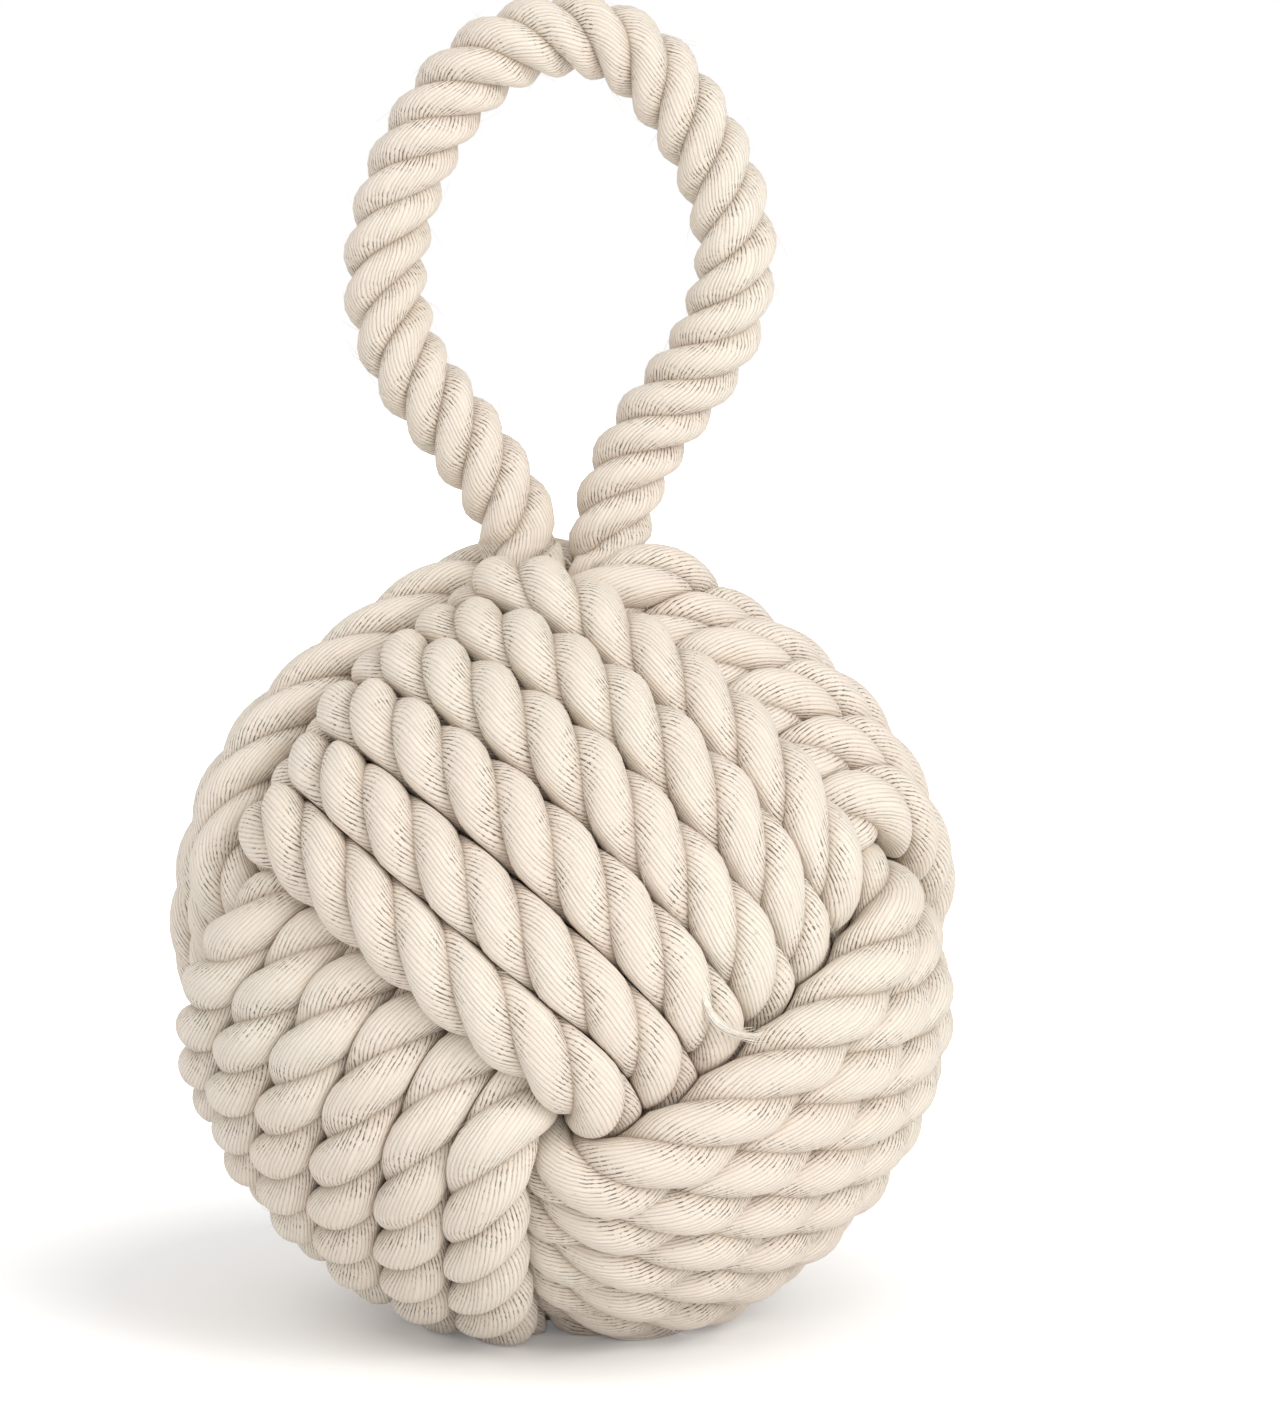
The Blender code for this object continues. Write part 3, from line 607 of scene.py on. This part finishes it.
class Value:
    """One node's output, so that what changes over a surface is written as a sum."""

    def __init__(self, nodes, socket):
        self.nodes, self.socket = nodes, socket

    def sum(self, operation, *values):
        settings = {"operation": operation}
        return self.nodes.node("ShaderNodeMath", settings, dict(enumerate(values)))

    def __add__(self, other):
        return self.sum("ADD", self, other)

    def __radd__(self, other):
        return self.sum("ADD", other, self)

    def __sub__(self, other):
        return self.sum("SUBTRACT", self, other)

    def __rsub__(self, other):
        return self.sum("SUBTRACT", other, self)

    def __mul__(self, other):
        return self.sum("MULTIPLY", self, other)

    def __rmul__(self, other):
        return self.sum("MULTIPLY", other, self)

    def over(self, other):
        return self.sum("DIVIDE", self, other)

    def __pow__(self, other):
        return self.sum("POWER", self, other)

    def __abs__(self):
        return self.sum("ABSOLUTE", self)

    def floor(self):
        return self.sum("FLOOR", self)

    def sine(self):
        return self.sum("SINE", self)

    def cosine(self):
        return self.sum("COSINE", self)

    def wrapped(self, most):
        return self.sum("WRAP", self, most, 0.0)

    def at_least(self, other):
        return self.sum("MAXIMUM", self, other)

    def ramp(self, low, high, start=0.0, end=1.0, corners="SMOOTHSTEP"):
        """Goes from start to end as the value goes from low to high."""
        settings = {"interpolation_type": corners}
        values = {0: self, 1: low, 2: high, 3: start, 4: end}
        return self.nodes.node("ShaderNodeMapRange", settings, values)


class Nodes:
    """A node tree, its last shader, and the one way that nodes are put into it."""

    def __init__(self, tree, shader):
        self.tree, self.shader = tree, tree.nodes[shader]

    def node(self, kind, settings=None, values=None, output=0):
        made = self.tree.nodes.new(kind)
        for key, setting in (settings or {}).items():
            setattr(made, key, setting)
        for key, value in (values or {}).items():
            socket = made.inputs[key]
            if isinstance(value, Value):
                self.tree.links.new(value.socket, socket)
            else:
                socket.default_value = value
        return Value(self, made.outputs[output])

    def feed(self, value, socket):
        self.tree.links.new(value.socket, self.shader.inputs[socket])

    def seen_directly(self):
        """1 where the eye, or a mirror or glass before it, looks straight at the surface."""
        seen = self.node("ShaderNodeLightPath", None, None, "Is Camera Ray")
        for ray in ("Is Glossy Ray", "Is Transmission Ray"):
            seen = seen.at_least(self.node("ShaderNodeLightPath", None, None, ray))
        return seen


class Finish(Nodes):
    """A material, with what its colour and relief are made from."""

    def __init__(self, name, roughness, sheen=0.0, gloss=0.25):
        self.material = bpy.data.materials.new(name)
        self.material.use_nodes = True
        super().__init__(self.material.node_tree, "Principled BSDF")
        self.shader.inputs["Roughness"].default_value = roughness
        self.shader.inputs["Sheen Weight"].default_value = sheen
        self.shader.inputs["Sheen Roughness"].default_value = 0.5
        self.shader.inputs["Sheen Tint"].default_value = (1.0, 0.95, 0.86, 1.0)
        self.shader.inputs["Specular IOR Level"].default_value = gloss

    def split(self, vector):
        values = {0: vector}
        return [self.node("ShaderNodeSeparateXYZ", None, values, output) for output in range(3)]

    def joined(self, x, y, z=0.0):
        return self.node("ShaderNodeCombineXYZ", None, {0: x, 1: y, 2: z})

    def place(self):
        return self.node("ShaderNodeTexCoord", None, None, "Object")

    def lay(self):
        """Metres along a strand, yarn number and how far round, as lay_marks sets them."""
        return self.node("ShaderNodeAttribute", {"attribute_name": "lay"}, None, "Vector")

    def noise(self, vector, scale, detail=2.0, roughness=0.5):
        values = {"Vector": vector, "Scale": scale, "Detail": detail, "Roughness": roughness}
        return self.node("ShaderNodeTexNoise", {"noise_dimensions": "3D"}, values)

    def chance(self, value):
        return self.node("ShaderNodeTexWhiteNoise", {"noise_dimensions": "1D"}, {"W": value})

    def mixed(self, share, one, other):
        settings = {"data_type": "RGBA", "blend_type": "MIX"}
        one, other = ((*c, 1.0) if isinstance(c, tuple) else c for c in (one, other))
        return self.node("ShaderNodeMix", settings, {0: share, 6: one, 7: other}, 2)

    def colour(self, value):
        self.feed(value, "Base Color")

    def relief(self, height, depth):
        bump = self.node("ShaderNodeBump", None, {"Height": height, "Distance": depth})
        self.feed(bump, "Normal")


def cotton_finish():
    """Undyed cotton yarns that lie side by side, with fibres on them and shade painted between the
    yarns and strands.
    """
    cotton = Finish("cotton_rope", 0.9, sheen=0.12)
    along, yarn, around = cotton.split(cotton.lay())
    ring = yarn * (2 * math.pi / YARNS)
    round_way = cotton.joined(along * 60.0, ring.cosine() * 1.1, ring.sine() * 1.1)
    wander = cotton.noise(round_way, 1.0, 3.0)
    number = yarn + wander * 2.2
    index = number.floor()
    inside = number - index
    ridge = 1.0 - abs(inside * 2.0 - 1.0) ** 2.6
    strand = along.over(STRAND_MARK).floor()
    own = cotton.chance(index.wrapped(float(YARNS)) + strand * float(YARNS))
    drawn_out = cotton.joined(along * 500.0 + inside * 2.0, number * 3.1)
    fibres = cotton.noise(drawn_out, 1.0, 4.0, 0.65)
    place = cotton.place()
    patches = cotton.noise(place, 38.0, 3.0)
    warmth = cotton.noise(place, 21.0, 2.0)
    # How far onto a strand's side a point lies; the shade below is painted strongest there.
    shaded = around.ramp(0.22, 0.50)
    # Painted shade in the grooves between the strands.
    groove_shade = around.ramp(0.36, 0.62)
    broken = cotton.noise(cotton.joined(along * 160.0, number * 0.9), 1.0, 2.0)
    broken = broken.ramp(0.35, 0.65, 0.45, 1.0)
    # Painted shade: darker lines between the yarns, strongest on the strands' sides.
    between = (1.0 - ridge) ** 1.4 * broken * (0.16 + shaded * 0.64)
    flecks = cotton.noise(cotton.joined(along * 900.0, number * 1.1), 1.0, 1.0)
    flecks = flecks.ramp(0.70, 0.76)
    # Painted shade: dark dashes in the gaps between yarns on the strands' sides, in patches.
    shade_dashes = cotton.noise(cotton.joined(along * 1100.0, index * 3.7), 1.0, 1.0)
    shade_dashes = shade_dashes.ramp(0.48, 0.56)
    patchy = cotton.noise(place, 110.0, 2.0).ramp(0.38, 0.54, 0.35, 1.0)
    shade_dashes = shade_dashes * (1.0 - ridge).ramp(0.18, 0.55) * around.ramp(0.12, 0.36) * patchy
    # Painted shade, darkest deep in the crevices between the strands.
    crevice_shade = around.ramp(0.48, 0.64)

    body = cotton.mixed(patches.ramp(0.35, 0.65), (0.905, 0.830, 0.722), (0.885, 0.788, 0.675))
    body = cotton.mixed(warmth.ramp(0.4, 0.6) * 0.5, body, (0.910, 0.790, 0.700))
    body = cotton.mixed(own * 0.35, body, (0.940, 0.870, 0.775))
    # Painted shade between the yarns.
    body = cotton.mixed(between, body, (0.50, 0.40, 0.305))
    body = cotton.mixed(fibres.ramp(0.30, 0.62, 0.22, 0.0), body, (0.60, 0.50, 0.40))
    body = cotton.mixed(groove_shade * 0.50, body, (0.55, 0.44, 0.335))
    body = cotton.mixed(crevice_shade * 0.65, body, (0.27, 0.20, 0.145))
    # Brown flecks of the cotton all over, doubled on the strands' sides as painted shade.
    body = cotton.mixed(flecks * (0.25 + shaded * 0.25), body, (0.22, 0.15, 0.10))
    body = cotton.mixed(shade_dashes * 0.86, body, (0.13, 0.105, 0.09))
    cotton.colour(body)
    cotton.relief(ridge * (0.7 + own * 0.5) + fibres * 0.8, 0.00018)
    return cotton.material


def fibre_finish():
    """The loose fibres and yarn ends that stand off the rope."""
    fibre = Finish("cotton_fibre", 0.9, sheen=0.1)
    tone = fibre.noise(fibre.place(), 400.0, 2.0)
    fibre.colour(fibre.mixed(tone.ramp(0.3, 0.7), (0.95, 0.905, 0.83), (0.90, 0.83, 0.73)))
    return fibre.material


def canvas_finish():
    """Plain-weave canvas, its threads following the pouch round and up."""
    canvas = Finish("canvas", 0.92, sheen=0.1)
    place = canvas.place()
    x, y, z = canvas.split(place)
    round_way = canvas.node("ShaderNodeMath", {"operation": "ARCTAN2"}, {0: y, 1: x})
    height = (z - float(MIDDLE[2])).over(POUCH_RADIUS)
    up_way = canvas.node("ShaderNodeMath", {"operation": "ARCSINE"}, {0: height})
    warp, weft = (round_way * 240.0).sine(), (up_way * 240.0).sine()
    threads = warp * weft * 0.5 + 0.5
    patches = canvas.noise(place, 60.0, 3.0)
    body = canvas.mixed(patches.ramp(0.3, 0.7), (0.62, 0.55, 0.43), (0.54, 0.47, 0.36))
    body = canvas.mixed(threads.ramp(0.0, 0.5, 0.5, 0.0), body, (0.30, 0.25, 0.18))
    canvas.colour(body)
    canvas.relief(threads + patches * 0.3, 0.0003)
    return canvas.material


def sand_finish():
    """Dry sand of mixed grains."""
    sand = Finish("sand", 1.0)
    place = sand.place()
    values = {"Vector": place, "Scale": 1600.0}
    grains = sand.node("ShaderNodeTexVoronoi", {"feature": "F1"}, values, "Distance")
    tone = sand.noise(place, 900.0, 2.0)
    body = sand.mixed(tone.ramp(0.3, 0.7), (0.52, 0.42, 0.28), (0.36, 0.28, 0.19))
    sand.colour(body)
    sand.relief(1.0 - grains, 0.0004)
    return sand.material


def twine_finish():
    """Waxed linen twine, with shade painted darker into the grooves between its plies."""
    twine = Finish("waxed_twine", 0.55)
    along, yarn, around = twine.split(twine.lay())
    threads = (yarn * (2 * math.pi)).sine() * 0.5 + 0.5
    tone = twine.noise(twine.joined(along * 90.0, yarn * 0.2), 1.0, 3.0)
    body = twine.mixed(tone.ramp(0.3, 0.7), (0.55, 0.46, 0.33), (0.44, 0.36, 0.25))
    body = twine.mixed(threads.ramp(0.0, 0.6, 0.5, 0.0), body, (0.24, 0.18, 0.12))
    # Painted shade in the grooves between the plies.
    body = twine.mixed(around.ramp(0.3, 0.7) * 0.5, body, (0.24, 0.18, 0.12))
    twine.colour(body)
    twine.relief(threads, 0.00008)
    return twine.material


# Pieces


def lay_knot(rope, cotton):
    """The knot's three strands, from the right throat to the cut end and on to the left."""
    last = rope.throat_row + LAP
    surfaces = []
    for number in range(STRANDS):
        rows = np.arange(0, rope.meeting_row + 1)
        surface, lay = rope.strand(number, rows, np.where(rows < LAP, LAPPED, 1.0))
        made = finished(f"knot_strand_{number + 1}", [strand_mesh(surface, lay, 16)], cotton)
        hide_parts("knot_rope")
        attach(made, "knot")
        surfaces.append(surface)
    shapes = []
    for number in range(STRANDS):
        rows = np.arange(rope.meeting_row + 1, last + 1)
        surface, lay = rope.strand(number, rows, np.where(rows > rope.throat_row, LAPPED, 1.0))
        shapes.append(strand_mesh(surface, lay, 1, number, STRANDS))
        surfaces.append(surface)
    made = finished("tail_rope", shapes, cotton)
    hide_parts("tucked_tail")
    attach(made, "knot")
    return surfaces


def lay_handle(rope, cotton):
    """The handle's three strands, from the left throat round to the right throat."""
    rows = np.arange(rope.throat_row - LAP, rope.end_row + LAP + 1)
    slimmer = np.where((rows < rope.throat_row) | (rows > rope.end_row), LAPPED, 1.0)
    surfaces, shapes = [], []
    for number in range(STRANDS):
        surface, lay = rope.strand(number, rows, slimmer)
        surfaces.append(surface)
        shapes.append(strand_mesh(surface, lay, 2, number, STRANDS))
    made = finished("handle_rope", shapes, cotton)
    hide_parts("handle_loop", "handle_root_left", "handle_root_right")
    leans_with_handle(made)
    return surfaces


def leans_with_handle(made):
    """Bakes a piece's placement into its mesh."""
    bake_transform(made)


def fibre_shape(routes, thickness):
    """Thin tapering fibres along short routes of a few points each."""
    curve = bpy.data.curves.new("fibres", "CURVE")
    curve.dimensions = "3D"
    curve.bevel_depth = 1.0
    curve.bevel_resolution = 0
    curve.use_fill_caps = True
    for route in routes:
        spline = curve.splines.new("POLY")
        spline.points.add(len(route) - 1)
        for point, place, share in zip(spline.points, route, np.linspace(0.0, 1.0, len(route))):
            point.co = (*place, 1.0)
            point.radius = thickness / 2 * (1 - 0.7 * share)
    maker = placed("fibres", curve)
    graph = bpy.context.evaluated_depsgraph_get()
    graph.update()
    mesh = bpy.data.meshes.new_from_object(maker.evaluated_get(graph))
    bpy.data.objects.remove(maker, do_unlink=True)
    bpy.data.curves.remove(curve)
    shape = bmesh.new()
    shape.from_mesh(mesh)
    bpy.data.meshes.remove(mesh)
    bmesh.ops.recalc_face_normals(shape, faces=shape.faces)
    return shape


def fibre_routes(surfaces, count, seed, outermost):
    """Short stray fibres that start on the strands' open sides and lift off a little."""
    chance = np.random.default_rng(seed)
    share = np.linspace(0.0, 1.0, 5)[:, None]
    routes = []
    while len(routes) < count:
        surface = surfaces[chance.integers(len(surfaces))]
        row, column = chance.integers(3, len(surface) - 4), chance.integers(0, COLUMNS)
        here = surface[row, column]
        ahead = surface[row + 1, column] - surface[row - 1, column]
        beside = surface[row, column + 1] - surface[row, column - 1 if column else COLUMNS - 1]
        ahead /= np.linalg.norm(ahead)
        outward = np.cross(ahead, beside)
        outward /= max(np.linalg.norm(outward), 1e-9)
        middle = surface[row].mean(axis=0)
        if outward @ (here - middle) < 0:
            outward = -outward
        beside = np.cross(outward, ahead)
        least, most = (-0.7, 0.002, 0.0002, -0.3), (0.7, 0.006, 0.0011, 0.3)
        angle, length, lift, curl = chance.uniform(least, most)
        angle += math.pi * chance.integers(2)
        if not outermost(here, outward):
            continue
        way = ahead * math.cos(angle) + beside * math.sin(angle)
        aside = np.cross(outward, way)
        run = way * length * share + aside * length * curl * share**2
        routes.append(here - outward * SUNK + run + outward * lift * np.sin(1.9 * share))
    return routes


def loose_fibres(knot_surfaces, handle_surfaces, fibre):
    """The fuzz that any cotton rope has, on the knot's open side and round the handle."""
    def on_the_outside(here, outward):
        away = here - MIDDLE
        size = np.linalg.norm(away)
        return size > POUCH_RADIUS + 1.45 * ROPE and outward @ away > 0.45 * size and here[2] > 0.004

    def round_the_handle(here, outward):
        return here[2] > MIDDLE[2] + THROAT

    routes = fibre_routes(knot_surfaces, KNOT_FIBRES, 71, on_the_outside)
    made = finished("knot_fibres", [fibre_shape(routes, FIBRE)], fibre)
    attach(made, "knot")
    routes = fibre_routes(handle_surfaces, HANDLE_FIBRES, 73, round_the_handle)
    made = finished("handle_fibres", [fibre_shape(routes, FIBRE)], fibre)
    leans_with_handle(made)


def loose_yarn(fibre):
    """The end of one broken yarn, which stands out of the front wrap and frays."""
    chance = np.random.default_rng(79)
    route = smoothed(evenly_spaced(np.array(LOOSE_YARN), 0.0007), 4)
    along = lengths_along(route)
    routes = []
    for _ in range(BROKEN_FIBRES):
        share = np.linspace(0.0, chance.uniform(0.72, 1.0), 10)
        wanted = share * along[-1]
        line = [np.interp(wanted, along, route[:, axis]) for axis in range(3)]
        aside = chance.normal(0.0, BUNDLE, 3)
        stray = chance.normal(0.0, FRAY, 3)
        parted = aside * np.minimum(1.0, 4 * share)[:, None] + stray * share[:, None] ** 3
        routes.append(np.stack(line, axis=1) + parted)
    made = finished("loose_yarn", [fibre_shape(routes, BROKEN_FIBRE)], fibre)
    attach(made, "knot")


def in_order(shape):
    """Lists the faces by their points, because a spin leaves them in another order each run."""
    shape.verts.index_update()
    count = len(shape.verts)

    def place(face):
        first, second, third = sorted(vertex.index for vertex in face.verts)[:3]
        return (first * count + second) * count + third

    shape.faces.sort(key=place)
    shape.faces.index_update()
    return shape


def spun(profile, sides):
    """A closed round shape: a profile of radius and height, spun about the upright axis."""
    shape = bmesh.new()
    line = [shape.verts.new((radius, 0.0, height)) for radius, height in profile]
    edges = [shape.edges.new(pair) for pair in zip(line, line[1:])]
    bmesh.ops.spin(shape, geom=line + edges, cent=(0, 0, 0), axis=(0, 0, 1), angle=2 * math.pi,
                   steps=sides, use_merge=True)
    bmesh.ops.remove_doubles(shape, verts=shape.verts, dist=0.00001)
    return in_order(shape)


def arc(radius, start, end, count):
    """Points on a ball's outline, as radius and height; angles count from the top."""
    angles = np.radians(np.linspace(start, end, count))
    return [(radius * math.sin(a), radius * math.cos(a)) for a in angles]


def gathered(shape):
    """Draws a spun shape into soft folds that deepen towards the tied neck, and sets it down."""
    for vertex in shape.verts:
        x, y, z = vertex.co
        round_way = math.atan2(y, x)
        fold = 0.5 - 0.5 * math.cos(PLEATS * round_way + 1.1 * math.sin(3 * round_way))
        high = min(max((z / POUCH_RADIUS - 0.3) / 0.5, 0.0), 1.0)
        neck = min(max((0.24 - math.hypot(x, y) / POUCH_RADIUS) / 0.08, 0.0), 1.0)
        if vertex.co.length:
            vertex.co -= vertex.co.normalized() * PLEAT_DEPTH * high * high * fold * (1 - neck)
        slimmer = 1 - 0.16 * fold * neck * high
        vertex.co.x, vertex.co.y = vertex.co.x * slimmer, vertex.co.y * slimmer
        vertex.co += Vector(MIDDLE)
    bmesh.ops.recalc_face_normals(shape, faces=shape.faces)
    return shape


def fill_pouch(canvas, sand):
    """The canvas pouch, gathered to its tied neck, and the sand that fills it."""
    outer = POUCH_RADIUS
    outside = arc(outer, 180.0, 30.0, 36)
    outside += [(share * outer, height * outer) for share, height in (
        (0.45, 0.860), (0.40, 0.845), (0.34, 0.805), (0.29, 0.765), (0.24, 0.715))]
    outside += [(NECK_RADIUS + rise, height * outer) for rise, height in (
        (0.0020, 0.675), (0.0006, 0.675), (0.0, 0.72), (-0.0003, 0.77), (-0.0003, 0.81),
        (0.0, 0.86), (0.0016, 0.91), (0.0040, 0.955), (0.0044, 0.965), (0.0030, 0.965))]
    inside = [(NECK_BORE, 0.90 * outer), (NECK_BORE, 0.75 * outer), (NECK_BORE, 0.60 * outer)]
    inside += [(share * outer, height * outer) for share, height in (
        (0.160, 0.613), (0.215, 0.648), (0.262, 0.686), (0.310, 0.730), (0.358, 0.778))]
    profile = outside + inside + arc(outer - POUCH_WALL, 32.0, 180.0, 36)
    made = finished("canvas_pouch", [gathered(spun(profile, 9 * PLEATS))], canvas)
    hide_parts("core_pouch")
    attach(made, "knot")
    profile = arc(outer - POUCH_WALL - FILL_GAP, 180.0, 33.0, 36)
    profile += [(share * outer, height * outer) for share, height in (
        (0.370, 0.755), (0.320, 0.705), (0.270, 0.660), (0.220, 0.622), (0.170, 0.590), (0.0, 0.575))]
    made = finished("sand", [gathered(spun(profile, 9 * PLEATS))], sand)
    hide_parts("sand_fill")
    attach(made, "knot")


def wind_twine(rope, twine):
    """The tie round the pouch's neck, and the winding that binds the rope's two cut ends."""
    angle = np.linspace(0.0, 2 * math.pi * TIE_TURNS, 60 * TIE_TURNS + 1)
    radius = NECK_RADIUS + TIE_CORD / 2
    rise = TIE_CORD * (angle / (2 * math.pi) - TIE_TURNS / 2)
    circle = np.stack([radius * np.cos(angle), radius * np.sin(angle), rise], axis=1)
    route = MIDDLE + (0.0, 0.0, 0.79 * POUCH_RADIUS) + circle
    made = finished("neck_tie", twine_shapes(route, TIE_CORD, 0.007, 3, 10), twine)
    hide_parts("pouch_tie")
    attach(made, "knot")

    turns = int(BINDING_LENGTH / BINDING_TWINE) - 1
    angle = np.linspace(0.0, 2 * math.pi * turns, 18 * turns + 1)
    ends = np.clip(np.minimum(angle, angle[-1] - angle) / 1.5, 0.0, 1.0)
    radius = BINDING_INSIDE + BINDING_TWINE * (ends - 0.5)
    way = rope.meeting_way
    across = np.cross(way, (0.0, 0.0, 1.0))
    across /= np.linalg.norm(across)
    upright = np.cross(way, across)
    forward = BINDING_TWINE * (angle / (2 * math.pi) - turns / 2)
    route = (rope.meeting_point + forward[:, None] * way + (radius * np.cos(angle))[:, None] * across
             + (radius * np.sin(angle))[:, None] * upright)
    made = finished("wound_binding", twine_shapes(route, BINDING_TWINE, 0.0035, 2, 8), twine)
    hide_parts("end_binding")
    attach(made, "knot")


def light_and_camera():
    """The camera at the photograph's angle, a main lamp on the right and two softer ones."""
    camera = bpy.data.cameras.new("camera")
    camera.lens = 120.0
    camera.sensor_fit = "AUTO"
    camera.sensor_width = 36.0
    view = placed("camera", camera)
    tilt = math.radians(CAMERA_TILT)
    upward = Vector((0.0, math.sin(tilt), math.cos(tilt)))
    aim = Vector(MIDDLE) + Vector((AIM_RIGHT, 0.0, 0.0)) + upward * AIM_UP
    view.location = aim + Vector((0.0, -math.cos(tilt), math.sin(tilt))) * CAMERA_AWAY
    view.rotation_euler = (math.radians(90.0) - tilt, 0.0, 0.0)
    bpy.context.scene.camera = view

    def lamp(name, place, size, power, colour):
        light = bpy.data.lights.new(name, "AREA")
        light.shape, light.size, light.energy, light.color = "DISK", size, power, colour
        made = placed(name, light)
        made.location = place
        towards = Vector((0.0, 0.0, LIT_HEIGHT)) - made.location
        made.rotation_euler = towards.to_track_quat("-Z", "Y").to_euler()

    lamp("key", (0.80, -0.95, 0.75), 0.6, 6.2, (1.0, 0.99, 0.97))
    lamp("fill", (0.45, -1.1, 0.05), 1.0, 4.7, (1.0, 0.975, 0.95))
    lamp("left fill", (-0.75, -0.3, 1.1), 0.8, 3.0, (1.0, 0.97, 0.945))


def white_room():
    """A white world all round, which is plain white where it is seen."""
    world = bpy.data.worlds.new("room")
    bpy.context.scene.world = world
    world.use_nodes = True
    room = Nodes(world.node_tree, "Background")
    room.shader.inputs["Color"].default_value = (1.0, 1.0, 1.0, 1.0)
    strength = room.seen_directly().ramp(0.0, 1.0, ROOM_LIGHT, 1.0, "LINEAR")
    room.feed(strength, "Strength")


def white_floor():
    """A pale floor that is lifted to white all round the knot's shadow."""
    white = Finish("floor", 1.0, gloss=0.0)
    white.shader.inputs["Base Color"].default_value = (0.93, 0.93, 0.93, 1.0)
    white.shader.inputs["Emission Color"].default_value = (1.0, 1.0, 1.0, 1.0)
    values = {0: white.place(), 1: SHADOW_MIDDLE}
    away = white.node("ShaderNodeVectorMath", {"operation": "DISTANCE"}, values, "Value")
    lift = away.ramp(SHADOW_KEPT, SHADOW_GONE, 0.12, 1.1, "LINEAR")
    white.feed(white.seen_directly() * lift, "Emission Strength")
    shape = bmesh.new()
    bmesh.ops.create_grid(shape, x_segments=8, y_segments=8, size=4.0)
    finished("floor", [shape], white.material)


rope = Rope()
cotton = cotton_finish()
knot_surfaces = lay_knot(rope, cotton)
handle_surfaces = lay_handle(rope, cotton)
fibre = fibre_finish()
loose_fibres(knot_surfaces, handle_surfaces, fibre)
loose_yarn(fibre)
fill_pouch(canvas_finish(), sand_finish())
wind_twine(rope, twine_finish())
white_room()
white_floor()
light_and_camera()
bpy.context.scene.view_settings.view_transform = "Standard"
